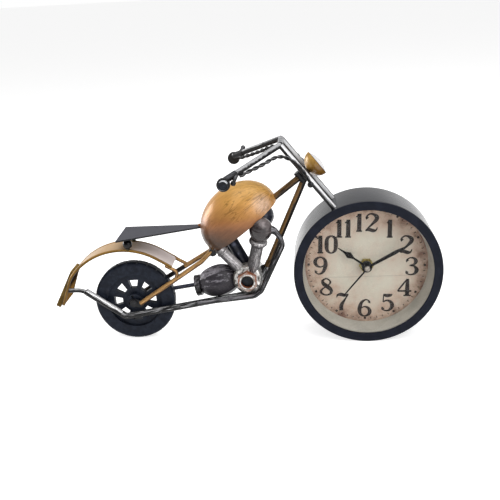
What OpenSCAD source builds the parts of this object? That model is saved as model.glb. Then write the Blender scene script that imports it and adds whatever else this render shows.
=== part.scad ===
// Motorcycle desk clock: a welded rod and sheet-metal chopper whose front wheel is a quartz clock.
// +X points forward to the clock, -Y is the right side, +Z is up, and the ground is z = 0.
// Places along the bike are given as distances behind the clock's centre.

/* [Clock] */
// Outside diameter of the clock drum
clock_d = 114; // [106:1:122]
// Depth of the drum from front to back
drum_depth = 43.5; // [42:0.5:50]
// Sheet thickness of the drum and its back plate
drum_wall = 1.2; // [0.8:0.1:1.6]
// Width of the rim in front of the glass
rim_w = 7; // [5:0.5:8]
// Thickness of the glass
glass_t = 2; // [1.5:0.25:3]
// Depth of the dial behind the front of the rim
dial_depth = 20; // [18:0.5:21]
// Thickness of the dial plate
dial_t = 1.2; // [0.8:0.1:2]
// Diameter of the dial that shows inside the spacer ring
dial_d = 96.4; // [88:0.4:100]
// Side of the square window in the back plate
window_w = 64; // [60:1:72]

/* [Movement and hands] */
// Side of the square quartz movement
movement_w = 56; // [54:0.5:58]
// Thickness of the quartz movement
movement_t = 15.5; // [15:0.5:17]
// Diameter of the threaded neck through the dial
neck_d = 8; // [7:0.25:9]
// Width across flats of the movement nut
nut_af = 10.2; // [9.5:0.1:12]
// Length of the hour hand
hour_len = 27.4; // [22:0.2:32]
// Length of the minute hand
minute_len = 35; // [30:0.5:42]
// Length of the second hand
second_len = 29.5; // [24:0.5:40]
// Hour hand, degrees clockwise from upright
hour_turn = -54; // [-180:1:180]
// Minute hand, degrees clockwise from upright
minute_turn = 61.5; // [-180:0.5:180]
// Second hand, degrees clockwise from upright
second_turn = -140; // [-180:1:180]
// Diameter of the setting knob
knob_d = 12; // [9:0.5:14]

/* [Rear wheel] */
// Outside diameter of the tyre
wheel_d = 65.4; // [60:0.2:70]
// Width of the tyre
wheel_w = 10; // [8:0.5:11]
// Distance from the clock's centre to the axle
wheelbase = 186.8; // [182:0.2:192]
// Diameter of the wheel disc inside the tyre
disc_d = 44; // [40:0.5:48]
// Number of windows in the wheel disc
windows = 8; // [5:1:9]
// Number of notches across the tread
notches = 24; // [12:1:30]
// Diameter of the axle
axle_d = 4; // [3:0.25:5]

/* [Frame] */
// Diameter of the backbone and down tube
tube_d = 5; // [4:0.25:6]
// Diameter of the lower rail and tail pipe
rail_d = 5.4; // [4.5:0.1:6]
// Diameter of the seat stays
stay_d = 3.4; // [2.8:0.1:4]
// Side offset of the lower rail
rail_y = 9.5; // [9:0.1:11]
// Side offset of the seat stays at the axle
stay_y = 8.6; // [8:0.1:10]
// Width of the fender strip
fender_w = 26; // [22:0.5:30]
// Thickness of the fender strip
fender_t = 1.2; // [0.8:0.1:2]
// Radius of the fender's arch
fender_r = 53.6; // [52:0.2:56]

/* [Fork and bars] */
// Diameter of the fork legs, crossbar and handlebars
fork_d = 4.4; // [3.8:0.1:4.8]
// Distance between the fork legs
fork_gap = 28; // [26:0.5:30]
// Height of the bend at the top of the fork
bend_z = 157.4; // [150:0.2:162]
// Distance of that bend behind the clock's centre
bend_back = 63.6; // [60:0.2:66]
// Slope of the fork below the horizontal
fork_rake = 52; // [48:0.5:56]
// Side offset of the grips' inner ends
grip_y = 45; // [42:0.5:50]
// Outside diameter of the grips
grip_d = 10; // [9:0.25:11]
// Length of the grips
grip_len = 6.5; // [5:0.5:9]
// Diameter of the headlight's rim
lamp_d = 20.2; // [17:0.2:22]
// Depth of the headlight's bowl
lamp_depth = 9; // [7.5:0.25:10]

/* [Tank and seat] */
// Length of the tank's egg
tank_len = 67; // [62:0.5:70]
// Diameter of the tank's egg
tank_d = 52.6; // [48:0.2:54]
// Sheet thickness of the tank
tank_wall = 1; // [0.8:0.1:1.6]
// Width of the seat at its rear edge
seat_w = 39.4; // [32:0.2:44]
// Thickness of the seat plate
seat_t = 1.2; // [0.8:0.1:2]

/* [Engine] */
// Diameter of the crankcase
crank_d = 24; // [22:0.5:26]
// Width of the crankcase
crank_w = 26; // [24:0.5:28]
// Width across flats of the crank nuts
crank_nut_af = 14.2; // [13:0.1:16]
// Diameter of the ball heads
ball_d = 17; // [15:0.5:18]
// Diameter of the front barrels
front_barrel_d = 8.4; // [7:0.1:9]
// Diameter of the rear barrels
rear_barrel_d = 8.6; // [7:0.1:9]
// Diameter of the intake tube
intake_d = 9.4; // [7:0.1:10]
// Diameter of the exhaust pipe
exhaust_d = 4; // [3.4:0.1:4.4]
// Diameter of the gearbox
gearbox_d = 27; // [24:0.5:29]

/* [Hidden] */
$fn = 48;

// Clearances: a fitted edge, a running shaft, and a weld between neighbours
fit_gap = 0.1;
run_gap = 0.05;
weld_gap = 0.02;
// Bends: how far the straights stop short of the corner, and how proud the ball over it stands
bend_trim = 0.25;
bend_proud = 0.3;
far = 400;

clock_r = clock_d / 2;
wheel_r = wheel_d / 2;

// Fender: the arch's ends in degrees, the tail's tighter bend, and its straight ends
arch_front = 58;
arch_back = 140;
arch_step = 2;
arch_behind = 5.5;
arch_below = 7.4;
tail_r = 25;
tail_turn = 160;
tail_len = 19.7;
front_len = 16.6;

// Tail plate: its slope, how far it stands off the fender's bend, and its reach up and down from there
plate_turn = 152;
plate_out = 2;
plate_t = 3.6;
plate_w = 20;
plate_up = 5.9;
plate_down = 26.8;

// Clock centre ahead of the origin, which lies under the middle of the whole length
rear_reach = arch_behind - (fender_r - tail_r) * cos(arch_back) - (tail_r + plate_out) * cos(plate_turn)
    - plate_down * cos(plate_turn + 90);
clock_x = (wheelbase + rear_reach - clock_r) / 2;

// A point given by its distance behind the clock's centre, its side offset and its height
function at(back, y, z) = [clock_x - back, y, z];
function mid(a, b, k) = a + k * (b - a);
function unit(v) = v / norm(v);

// Fork: the bend at the top, the slope along the legs and the square to it, forward and up
bend = at(bend_back, 0, bend_z);
fork_dir = [cos(fork_rake), 0, -sin(fork_rake)];
fork_front = [sin(fork_rake), 0, cos(fork_rake)];
side = [0, 1, 0];
clock_c = [clock_x, 0, clock_r];
// Distance along a leg from the bend to the drum's skin
to_clock = clock_c - bend;
leg_along = to_clock * fork_dir;
leg_off = to_clock * fork_front;
leg_len = leg_along - sqrt(clock_r * clock_r - leg_off * leg_off);
leg_bite = 6;
knuckle_d = fork_d + 0.8;

// Steering neck: the yoke between the legs, and the neck block behind it
yoke_d = 5;
yoke_along = 30.5;
yoke_c = bend + yoke_along * fork_dir;
neck_w = 6.8;
neck_len = 9;
neck_lap = 0.4;
neck_c = yoke_c - ((yoke_d + neck_w) / 2 - neck_lap) * fork_front;

// Backbone from the neck to its rear end, and the directions along and above it
lug = at(123, 0, 74);
spine_dir = (lug - neck_c) / norm(lug - neck_c);
spine_slope = atan2(-spine_dir[2], -spine_dir[0]);
spine_up = [spine_dir[2], 0, -spine_dir[0]];

// Tank egg on the backbone
tank_along = 58.5;
tank_rise = 4.8;
tank_pitch = 2;
tank_c = neck_c + tank_along * spine_dir + tank_rise * spine_up;

// Rear wheel, and the fender's arch a little behind and below the axle's centre
wheel_c = [clock_x - wheelbase, 0, wheel_r];
arch_c = wheel_c + [-arch_behind, 0, -arch_below];
tail_c = arch_c + (fender_r - tail_r) * [cos(arch_back), 0, sin(arch_back)];
tail_top = tail_c + tail_r * [cos(tail_turn), 0, sin(tail_turn)];
tail_dir = [-sin(tail_turn), 0, cos(tail_turn)];
tail_out = [cos(tail_turn), 0, sin(tail_turn)];
front_out = [cos(arch_front), 0, sin(arch_front)];
front_top = arch_c + fender_r * [cos(arch_front), 0, sin(arch_front)];
front_dir = [sin(arch_front), 0, -cos(arch_front)];

// Seat: its tip on the tank's tail and its rear held up by two balls on the fender
seat_tip = at(128, 0, 92.2);
seat_ball_d = 7.6;
seat_stud_d = 3;
seat_gap = 9.3;
ball_ahead = 0.3;
ball_y = fender_w / 2 - 1.6;
ball_x = wheel_c[0] + ball_ahead;
fender_top_z = arch_c[2] + sqrt(fender_r * fender_r - pow(ball_x - arch_c[0], 2));
seat_slope = atan2(seat_tip[2] - (fender_top_z + seat_gap), seat_tip[0] - ball_x);
seat_over = 7.3;
seat_len = (seat_tip[0] - ball_x) / cos(seat_slope) + seat_over;
seat_tip_w = 5;
seat_tip_lap = 4;

// Lower frame: the foot of the down tube, the rail's bends and the tail pipe
foot = at(76, 0, 62.4);
neck_low = at(48.6, 0, 123.4);
down_lap = 6;
rail_front = at(85.6, -rail_y + 1, 43);
rail_bend = at(89.5, -rail_y, 38.8);
rail_back = wheel_c + [-7.2, -rail_y, -11.2];
pipe_top = wheel_c + [-38.4, -rail_y, 11.4];
pipe_lap = 4.5;
pipe_start = rail_back + pipe_lap * unit(pipe_top - rail_back);

// Seat stays and the cross tube that they leave from
spreader_c = at(120.5, 0, 72.5);
spreader_d = 6.4;
spreader_w = 13;
stay_top_y = 4.8;
stay_reach = 5;
stay_top = spreader_c + [-1, -stay_top_y, 0.9];
stay_knee = at(130.2, -6, 65);
stay_end_right = wheel_c + [stay_reach, -stay_y, -0.9];
stay_end_left = wheel_c + [stay_reach - 1, stay_y, 2.5];
tail_stay_d = 3;
fender_stay_d = 2.8;
tab_t = 1.6;
tab_w = 7;
tab_taper = 1;
rivet_d = 5.6;
rivet_t = 1;

// Tyre's rounded shoulders and tread notches
tread_round = 2.6;
notch_depth = 0.7;
notch_w = 1.2;
// Wheel disc: its web, its hub between the stays, its windows and the small holes in the hub
web_t = 5;
hub_gap = 0.6;
hub_w = 2 * (stay_y - stay_d / 2 - hub_gap);
wheel_hub_d = 13;
window_in = 10.4;
window_out = 17.2;
window_foot = 4.8;
window_top = 8.2;
window_turn = 0.05;
hub_holes = 4;
hub_hole_r = 4.4;
hub_hole_d = 2.2;
hub_hole_turn = 20;

// Handlebars, levers and grips
grip_c = at(104.2, grip_y, 136.6);
grip_wall = 1.7;
grip_floor = 1.5;
bar_rise = 2;
bar_end = grip_c + [0, 0, bar_rise];
bar_start = bend + fork_gap / 2 * side;
lever_d = 2.6;
lever_ball_d = 3.8;
// Each lever's place along its bar, and its reach: the right one hangs, the left one stands up
lever_along = [0.75, 0.88];
lever_reach = [[-3, 9, -6], [3, 8, 3.6]];

// Brake cables, twisted pairs drawn as their outer round
cable_d = 2.2;
cable_right_route = [
    [93, -36.6, 140], [85, -33, 143.2], [80, -30.5, 144.8], [75, -28, 146.8], [71, -25.6, 148.6],
    [67, -22.8, 150], [62.5, -20.2, 150], [58, -18.2, 148], [52, -17.4, 143.6], [48, -17.4, 138.9],
    [45, -17.4, 134], [42.6, -17.4, 129.4]
];
cable_left_route = [
    [98, 38.5, 138.2], [90, 33, 141.2], [81, 26.5, 145.2], [74.5, 21.5, 148.6], [69, 18, 150.8],
    [63, 16.8, 150.4], [58, 17.4, 147.6], [52, 17.4, 143.4], [48, 17.4, 138.9], [45, 17.4, 134],
    [42.6, 17.4, 129.4]
];
clip_d = 4.8;
clip_drop = [0.6, 0, -2.1];
clip_mouth = 6;

// Headlight: its turn to the left, how far it is let into the yoke, the bowl's sheet, and the lens's edge and dome
lamp_turn = 7;
lamp_sink = 1.2;
lamp_wall = 1;
lens_edge = 1.5;
lens_dome = 3;

// Engine
crank_c = at(93.5, 0, 51.1);
crank_chamfer = 1.6;
crank_nut_t = 5;
crank_nut_bore = 10.4;
// Ball heads: forward of the tank's middle, turned down from its side and sunk below its skin
head_along = 12.3;
head_turn = 35.8;
head_sink = 2.89;
head_out = cos(head_turn) * side - sin(head_turn) * spine_up;
head_c = tank_c - head_along * spine_dir + (tank_d / 2 - head_sink) * head_out;
head_right = [head_c[0], -head_c[1], head_c[2]];
front_base = at(89.8, 8.5, 57);
collar_d = 13.6;
collar_t = 4.6;
collar_lap = 0.3;
rear_base = at(98.6, 7.4, 57.5);
rear_top = at(115.2, 11.3, 78.6);
ring_d = 10.2;
ring_t = 2.2;
ring_below = 4.2;
barrel_gap = 0.1;
head_gap = 0.3;
intake_lap = 2;
intake_base = at(93.4, 0, 56);
intake_top = at(108.4, 0, 86);
gearbox_c = at(117.5, 0, 46.9);
gearbox_len = 35;
gearbox_slope = 9.8;
flange_d = 17;
flange_t = 4.2;
flange_c = at(134.4, 0, 43.2);
shaft_d = 3.3;
shaft_start = at(133, 5.4, 42.4);
shaft_end = wheel_c + [3.6, stay_y + tab_t / 2 + shaft_d / 2 + 0.1, 0.4];
bracket_d = 4.4;
bracket_end = at(78, 0, 58.2);

// Exhaust: out of the right ball head, down beside the down tube and back along the rail
exhaust_y = rail_y + (rail_d + exhaust_d) / 2 + 0.1;
exhaust_route = [
    head_right, at(70.4, head_right[1], 93), at(66.2, -18, 86.5), at(64.6, -17.4, 80.6),
    at(83, -exhaust_y - 0.4, 42.4), at(88.6, -exhaust_y, 38), at(134.4, -exhaust_y, 33.3)
];
exhaust_last = len(exhaust_route) - 1;
exhaust_lap = 3;

// Clock depths, measured forward from the drum's middle
front_z = drum_depth / 2;
drum_r_in = clock_r - drum_wall;
rim_r_in = clock_r - rim_w;
glass_z = front_z - drum_wall - glass_t;
dial_z = front_z - dial_depth;
back_z = -front_z;
edge_round = 1.1;
// Levels of the movement's pieces above the dial
nut_t = 2.2;
neck_top = 4;
hour_level = 5;
minute_level = 7.2;
second_level = 9.4;
hand_t = 0.5;
hub_d = 8;
cap_d = 5.2;
cap_t = 1.4;
// Arbors, one inside the next
hour_tube_d = 5;
minute_tube_d = 3.4;
second_pin_d = 1.2;
arbor_depth = 6;
arbor_wall_gap = 2 * run_gap;
knob_y = movement_w / 4;
knob_gap = 0.4;
knob_t = 4.5;
knob_stem_d = 3;
knob_stem_len = 3;
battery_d = 14.2;
battery_len = 50;
battery_cap_d = 5.4;
battery_cap = 1;
bay_gap = 0.3;
bay_edge = 2.6;
bay_w = battery_d + 2 * bay_gap;
bay_len = battery_len + 2 * bay_gap;
battery_y = bay_edge + bay_w / 2 - movement_w / 2;
bay_floor = 0.6;

// Round bar between two points
module rod(a, b, d) {
    v = b - a;
    translate(a)
        rotate([0, acos(v[2] / norm(v)), atan2(v[1], v[0])])
            cylinder(h = norm(v), d = d);
}

// Round bar bent at each inner point, with a slightly proud ball over each bend
module bent_rod(points, d) {
    last = len(points) - 1;
    for (i = [0 : last - 1]) {
        v = unit(points[i + 1] - points[i]);
        from = i > 0 ? bend_trim : 0;
        to = i < last - 1 ? bend_trim : 0;
        rod(points[i] + from * v, points[i + 1] - to * v, d);
        if (i > 0) translate(points[i]) sphere(d = d + bend_proud);
    }
}

// Pushes the children out to the left side, or mirrored to the right
module left_or_right(left) {
    if (left) children();
    else mirror([0, 1, 0]) children();
}

// Half outline of an egg: radius against length along its axis
function egg_profile(len, d, steps = 24) =
    [for (i = [0 : steps]) let (t = 180 * i / steps) [d / 2 * sin(t), -len / 2 * cos(t)]];

// Egg lying along X
module egg(len, d) {
    rotate([0, 90, 0]) rotate_extrude() polygon(egg_profile(len, d));
}

// Ring of points round a route, square to it
function ring_at(route, i, r, sides) =
    let (last = len(route) - 1,
         a = route[max(i - 1, 0)],
         b = route[min(i + 1, last)],
         t = (b - a) / norm(b - a),
         u0 = cross(t, [0, 1, 0]),
         u = u0 / norm(u0),
         w = cross(t, u))
    [for (k = [0 : sides - 1]) route[i] + r * (cos(360 * k / sides) * u + sin(360 * k / sides) * w)];

// Tube swept along a route
module swept_tube(route, d, sides = 8) {
    last = len(route) - 1;
    points = [for (i = [0 : last]) each ring_at(route, i, d / 2, sides)];
    walls = [
        for (i = [0 : last - 1], k = [0 : sides - 1])
            let (a = i * sides + k, b = i * sides + (k + 1) % sides)
            each [[a, b, b + sides], [a, b + sides, a + sides]]
    ];
    start = [for (k = [1 : sides - 2]) [0, k + 1, k]];
    finish = [for (k = [1 : sides - 2]) last * sides * [1, 1, 1] + [0, k, k + 1]];
    polyhedron(points, concat(walls, start, finish));
}

// Axes of the clock: local z forward out of the dial, local y up
module on_clock() {
    translate(clock_c) rotate([90, 0, 0]) children();
}

// Axes of the wheel: local z to the right side
module on_wheel() {
    translate(wheel_c) rotate([90, 0, 0]) children();
}

// Axes of the headlight: local z forward out of the lens
module on_lamp() {
    translate(yoke_c) rotate([0, fork_rake, 0]) rotate([-lamp_turn, 0, 0])
        translate([0, 0, yoke_d / 2 - lamp_sink]) children();
}

// Axes of the tank: local x forward along the egg
module on_tank() {
    translate(tank_c) rotate([0, -spine_slope, 0]) children();
}

// Raw bars that neighbours are cut back from
module leg_bar() {
    top = bend - fork_gap / 2 * side;
    translate(top) sphere(d = knuckle_d);
    rod(top, top + (leg_len + leg_bite) * fork_dir, fork_d);
}
module drum_round() {
    on_clock() cylinder(h = drum_depth, r = clock_r, center = true, $fn = 96);
}
module yoke_bar() {
    rod(yoke_c - fork_gap / 2 * side, yoke_c + fork_gap / 2 * side, yoke_d);
}
module neck_bar() {
    rod(neck_c - neck_len / 2 * fork_dir, neck_c + neck_len / 2 * fork_dir, neck_w);
}
module spine_bar() {
    rod(neck_c, lug, tube_d);
}
module rail_straight() {
    rod(rail_bend, rail_back, rail_d);
}
module down_bar() {
    rod(foot, neck_low + down_lap * unit(neck_low - foot), tube_d);
}
module spreader_bar() {
    rod(spreader_c - spreader_w / 2 * side, spreader_c + spreader_w / 2 * side, spreader_d);
}
module pipe_bar() {
    rod(pipe_start, pipe_top, rail_d);
}
module crank_round() {
    translate(crank_c) rotate([90, 0, 0]) cylinder(h = crank_w, d = crank_d, center = true);
}
module exhaust_header() {
    rod(exhaust_route[0], exhaust_route[1], exhaust_d);
}
module exhaust_tail() {
    rod(exhaust_route[exhaust_last - 1], exhaust_route[exhaust_last], exhaust_d + 2 * fit_gap);
}
module ball(left, grow = 0) {
    left_or_right(left) translate(head_c) sphere(d = ball_d + 2 * grow);
}
module tank_egg(grow = 0) {
    on_tank() rotate([0, -tank_pitch, 0]) egg(tank_len + 2 * grow, tank_d + 2 * grow);
}
module above_tank_edge() {
    on_tank() translate([0, 0, far / 2 - tank_rise - tube_d / 2 - fit_gap]) cube(far, center = true);
}
module stay_bar_right() {
    bent_rod([stay_top, stay_knee, stay_end_right], stay_d);
}
module stay_bar_left() {
    rod(spreader_c + stay_top_y * side, stay_end_left, stay_d);
}
module handlebar_bar() {
    rod(bar_start, bar_end, fork_d);
}
module grip_round() {
    translate(grip_c) rotate([-90, 0, 0]) cylinder(h = grip_len, d = grip_d);
}
module seat_sheet() {
    translate(seat_tip) rotate([0, -seat_slope, 0]) mirror([1, 0, 0])
        linear_extrude(height = seat_t)
            polygon([
                [-seat_tip_lap, -seat_tip_w / 2], [seat_len, -seat_w / 2],
                [seat_len, seat_w / 2], [-seat_tip_lap, seat_tip_w / 2]
            ]);
}

// Side view of the fender's face set in by a distance: front end, arch, tail bend and tail end
function fender_face(in) = concat(
    [flat(front_top + front_len * front_dir - in * front_out)],
    [for (a = [arch_front : arch_step : arch_back]) flat(arch_c) + (fender_r - in) * [cos(a), sin(a)]],
    [
        for (a = [arch_back + arch_step : arch_step : tail_turn])
            flat(tail_c) + (tail_r - in) * [cos(a), sin(a)]
    ],
    [flat(tail_top + tail_len * tail_dir - in * tail_out)]
);
function flat(p) = [p[0], p[2]];
function turned(list) = [for (i = [len(list) - 1 : -1 : 0]) list[i]];
module fender_strip() {
    rotate([90, 0, 0]) linear_extrude(height = fender_w, center = true)
        polygon(concat(fender_face(0), turned(fender_face(fender_t))));
}
module under_fender() {
    rotate([90, 0, 0]) linear_extrude(height = far, center = true)
        polygon(concat(fender_face(-weld_gap), [flat(wheel_c)]));
}

// Everything behind the inner face of the fender's tail
module tail_cut() {
    rotate([90, 0, 0]) linear_extrude(height = far, center = true)
        translate([tail_top[0], tail_top[2]]) rotate(tail_turn)
            translate([-fender_t - weld_gap, -far / 2]) square(far);
}
// Steering neck and main frame
module neck_block() {
    color("#1d1d20") difference() {
        neck_bar();
        yoke_bar();
    }
}
module fork_yoke() {
    color("#2b2b2e") difference() {
        yoke_bar();
        leg_bar();
        mirror([0, 1, 0]) leg_bar();
    }
}
module backbone_tube() {
    color("#5a3f22") difference() {
        spine_bar();
        neck_bar();
    }
}
module down_tube() {
    color("#6b4a24") difference() {
        down_bar();
        neck_bar();
        yoke_bar();
        spine_bar();
    }
}
module lower_rail() {
    color("#3d3d40") difference() {
        bent_rod([foot, rail_front, rail_bend, rail_back, pipe_start], rail_d);
        down_bar();
    }
}
module tail_pipe() {
    color("#8a8a8c") pipe_bar();
}
module tail_stay() {
    start = mid(pipe_top, pipe_start, 0.05);
    color("#3a3a3c") difference() {
        rod(start, [tail_top[0] - 2, -rail_y, pipe_top[2] + 1.4], tail_stay_d);
        pipe_bar();
        tail_cut();
    }
}
module engine_bracket() {
    color("#2a2a2c") difference() {
        rod(crank_c, bracket_end, bracket_d);
        crank_round();
        down_bar();
        rod(foot, rail_front, rail_d);
    }
}
module stay_spreader() {
    color("#2a2622") difference() {
        spreader_bar();
        spine_bar();
    }
}
module seat_stay_right() {
    color("#a8702c") difference() {
        stay_bar_right();
        spreader_bar();
        spine_bar();
        tab(false);
    }
}
module seat_stay_left() {
    color("#a8702c") difference() {
        stay_bar_left();
        spreader_bar();
        spine_bar();
        tab(true);
    }
}

// Flat tab from a seat stay's end to the axle
module tab(left) {
    end = left ? stay_end_left : stay_end_right;
    y = left ? stay_y : -stay_y;
    v = [end[0] - wheel_c[0], end[2] - wheel_c[2]];
    translate([wheel_c[0], y + tab_t / 2, wheel_c[2]]) rotate([90, 0, 0])
        linear_extrude(height = tab_t) {
            circle(d = tab_w);
            translate(v) circle(d = tab_w - tab_taper);
            rotate(atan2(v[1], v[0])) translate([0, (tab_taper - tab_w) / 2])
                square([norm(v), tab_w - tab_taper]);
        }
}
module axle_tabs() {
    color("#26262a") difference() {
        union() {
            tab(false);
            tab(true);
        }
        on_wheel() cylinder(h = far, d = axle_d, center = true);
    }
}
module rear_axle() {
    half = stay_y + tab_t / 2;
    color("#4a4a4e") on_wheel() {
        cylinder(h = 2 * half, d = axle_d, center = true);
        for (s = [-1, 1]) translate([0, 0, s * (half + rivet_t / 2)])
            cylinder(h = rivet_t, d = rivet_d, center = true);
    }
}
module fender() {
    color("#b58543") difference() {
        fender_strip();
        rod(stay_knee, stay_end_right, stay_d + 2 * fit_gap);
        rod(spreader_c + stay_top_y * side, stay_end_left, stay_d + 2 * fit_gap);
    }
}
module fender_stays() {
    under = (fender_t + fender_stay_d / 2 + weld_gap) * [-front_dir[2], 0, front_dir[0]];
    top = front_top + 8 * front_dir - under - (fender_w / 2 - 2.6) * side;
    knee = front_top + 19 * front_dir - under - (stay_y + 0.8) * side;
    color("#a8702c") difference() {
        union() {
            bent_rod([top, knee, mid(stay_knee, stay_end_right, 0.41)], fender_stay_d);
            rod(at(150.6, fender_w / 2 - 2.8, 59.3), mid(spreader_c + stay_top_y * side, stay_end_left, 0.36),
                fender_stay_d);
        }
        rod(stay_knee, stay_end_right, stay_d);
        stay_bar_left();
    }
}
module tail_plate() {
    p = tail_c + (tail_r + plate_out) * [cos(plate_turn), 0, sin(plate_turn)];
    color("#b58543") difference() {
        rotate([90, 0, 0]) linear_extrude(height = plate_w, center = true)
            translate(flat(p)) rotate(plate_turn)
                translate([-plate_t, -plate_up]) square([plate_t, plate_up + plate_down]);
        under_fender();
    }
}

// Tank and seat
module fuel_tank() {
    color("#d09a4c") difference() {
        tank_egg();
        tank_egg(-tank_wall);
        on_tank() translate([0, 0, -far / 2 - tank_rise - tube_d / 2]) cube(far, center = true);
        spine_bar();
        spreader_bar();
    }
}
module seat_plate() {
    color("#3b3b42") difference() {
        seat_sheet();
        tank_egg();
    }
}
module seat_balls() {
    color("#1e1f24") difference() {
        for (s = [-1, 1]) {
            translate([ball_x, s * ball_y, fender_top_z + seat_gap / 2]) sphere(d = seat_ball_d);
            rod([ball_x, s * ball_y, fender_top_z - fender_t / 2],
                [ball_x, s * ball_y, fender_top_z + seat_gap + 3], seat_stud_d);
        }
        fender_strip();
        translate(seat_tip) rotate([0, -seat_slope, 0]) mirror([1, 0, 0])
            translate([-far / 2, -far / 2, 0]) cube(far);
    }
}

// Fork and bars
module fork_leg_right() {
    color("#8d8d90") difference() {
        leg_bar();
        drum_round();
    }
}
module fork_leg_left() {
    color("#8d8d90") mirror([0, 1, 0]) difference() {
        leg_bar();
        drum_round();
    }
}
module fork_crossbar() {
    color("#c2c2c4") difference() {
        rod(bend - fork_gap / 2 * side, bend + fork_gap / 2 * side, fork_d);
        leg_bar();
        mirror([0, 1, 0]) leg_bar();
    }
}
module handlebar(left) {
    left_or_right(left) difference() {
        handlebar_bar();
        mirror([0, 1, 0]) leg_bar();
        grip_round();
        rod(bend, bend + fork_gap * side, fork_d);
    }
}
module handlebar_right() {
    color("#9a9a9c") handlebar(false);
}
module handlebar_left() {
    color("#9a9a9c") handlebar(true);
}
module grip(left) {
    left_or_right(left) difference() {
        grip_round();
        translate(grip_c + grip_floor * side) rotate([-90, 0, 0])
            cylinder(h = grip_len, d = grip_d - 2 * grip_wall);
    }
}
module grip_right() {
    color("#1c1d22") grip(false);
}
module grip_left() {
    color("#1c1d22") grip(true);
}
module lever(left) {
    i = left ? 1 : 0;
    root = mid(bar_start, bar_end, lever_along[i]);
    tip = root + lever_reach[i];
    left_or_right(left) difference() {
        union() {
            rod(root, tip, lever_d);
            translate(tip) sphere(d = lever_ball_d);
        }
        handlebar_bar();
    }
}
module lever_right() {
    color("#77777a") lever(false);
}
module lever_left() {
    color("#77777a") lever(true);
}
function placed(route) = [for (p = route) at(p[0], p[1], p[2])];
module cable_right() {
    color("#2d2d2f") swept_tube(placed(cable_right_route), cable_d);
}
module cable_left() {
    color("#2d2d2f") swept_tube(placed(cable_left_route), cable_d);
}
module cable_clips() {
    for (route = [cable_right_route, cable_left_route]) {
        end = placed(route)[len(route) - 1];
        color("#1d1d20") difference() {
            translate(end + clip_drop) sphere(d = clip_d);
            leg_bar();
            mirror([0, 1, 0]) leg_bar();
            translate(end + [0, 0, clip_mouth / 2 - cable_d / 4 - fit_gap]) cube(clip_mouth, center = true);
        }
    }
}
module headlight_bowl() {
    color("#c08f45") difference() {
        on_lamp() translate([0, 0, lamp_depth]) rotate([0, 90, 0]) intersection() {
            egg(2 * lamp_depth, lamp_d);
            translate([0, -far / 2, -far / 2]) cube(far);
        }
        on_lamp() translate([0, 0, lamp_depth]) rotate([0, 90, 0])
            egg(2 * (lamp_depth - lamp_wall), lamp_d - 2 * lamp_wall);
        yoke_bar();
    }
}
module headlight_lens() {
    r = lamp_d / 2 - lamp_wall - fit_gap;
    dome_r = (r * r + lens_dome * lens_dome) / (2 * lens_dome);
    color("#e8e8ea") on_lamp() intersection() {
        translate([0, 0, lamp_depth - lens_edge]) cylinder(h = lens_edge + lens_dome, r = r);
        translate([0, 0, lamp_depth + lens_dome - dome_r]) sphere(r = dome_r, $fn = 96);
        translate([0, 0, lamp_depth]) rotate([0, 90, 0])
            egg(2 * (lamp_depth - lamp_wall - fit_gap), 2 * r);
    }
}

// Engine
module crankcase() {
    color("#a3a19c") difference() {
        translate(crank_c) rotate([90, 0, 0]) {
            cylinder(h = crank_w - 2 * crank_chamfer, d = crank_d, center = true);
            for (s = [0, 180]) rotate([s, 0, 0]) translate([0, 0, crank_w / 2 - crank_chamfer])
                cylinder(h = crank_chamfer, d1 = crank_d, d2 = crank_d - 2 * crank_chamfer);
        }
        rail_straight();
        rod(rail_front, rail_bend, rail_d);
        rod(foot, rail_front, rail_d);
        for (p = [rail_front, rail_bend]) translate(p) sphere(d = rail_d + bend_proud);
        exhaust_tail();
    }
}
module crank_nuts() {
    color("#b0714f") for (s = [0, 180]) translate(crank_c) rotate([0, 0, s]) rotate([90, 0, 0])
        translate([0, 0, crank_w / 2]) difference() {
            rotate(30) cylinder(h = crank_nut_t, d = crank_nut_af / cos(30), $fn = 6);
            translate([0, 0, -1]) cylinder(h = crank_nut_t + 2, d = crank_nut_bore);
        }
}
module front_barrel(left) {
    v = (head_c - front_base) / norm(head_c - front_base);
    collar = head_c - (ball_d / 2 - collar_lap) * v;
    difference() {
        left_or_right(left) {
            rod(front_base, head_c, front_barrel_d);
            rod(collar - collar_t * v, collar, collar_d);
        }
        ball(left);
        crank_round();
    }
}
module front_barrel_right() {
    color("#77757a") front_barrel(false);
}
module front_barrel_left() {
    color("#3f3e44") front_barrel(true);
}
module front_head(left) {
    difference() {
        ball(left);
        intersection() {
            tank_egg(head_gap);
            above_tank_edge();
        }
        if (!left) exhaust_header();
    }
}
module front_head_right() {
    color("#6d6a6c") front_head(false);
}
module front_head_left() {
    color("#2c2c33") front_head(true);
}
module rear_barrel(left) {
    v = (rear_top - rear_base) / norm(rear_top - rear_base);
    difference() {
        left_or_right(left) {
            rod(rear_base, rear_top, rear_barrel_d);
            rod(rear_top - (ring_below + ring_t) * v, rear_top - ring_below * v, ring_d);
        }
        crank_round();
        spreader_bar();
        spine_bar();
        above_tank_edge();
    }
}
module rear_barrel_right() {
    color("#77757a") rear_barrel(false);
}
module rear_barrel_left() {
    color("#3f3e44") rear_barrel(true);
}
module intake_tube() {
    color("#23242c") difference() {
        rod(intake_base, intake_top, intake_d);
        crank_round();
        spine_bar();
        for (s = [true, false]) {
            left_or_right(s) rod(rear_base, rear_top, rear_barrel_d + 2 * barrel_gap);
            left_or_right(s) rod(front_base, head_c, front_barrel_d + 2 * barrel_gap);
        }
        translate(intake_top) rotate([0, -spine_slope, 0])
            translate([0, 0, far / 2 + intake_lap]) cube(far, center = true);
    }
}
module gearbox_egg() {
    translate(gearbox_c) rotate([0, -gearbox_slope, 0]) egg(gearbox_len, gearbox_d);
}
module flange_disc() {
    translate(flange_c) rotate([0, -90 - gearbox_slope, 0])
        cylinder(h = flange_t, d = flange_d, center = true);
}
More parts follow.
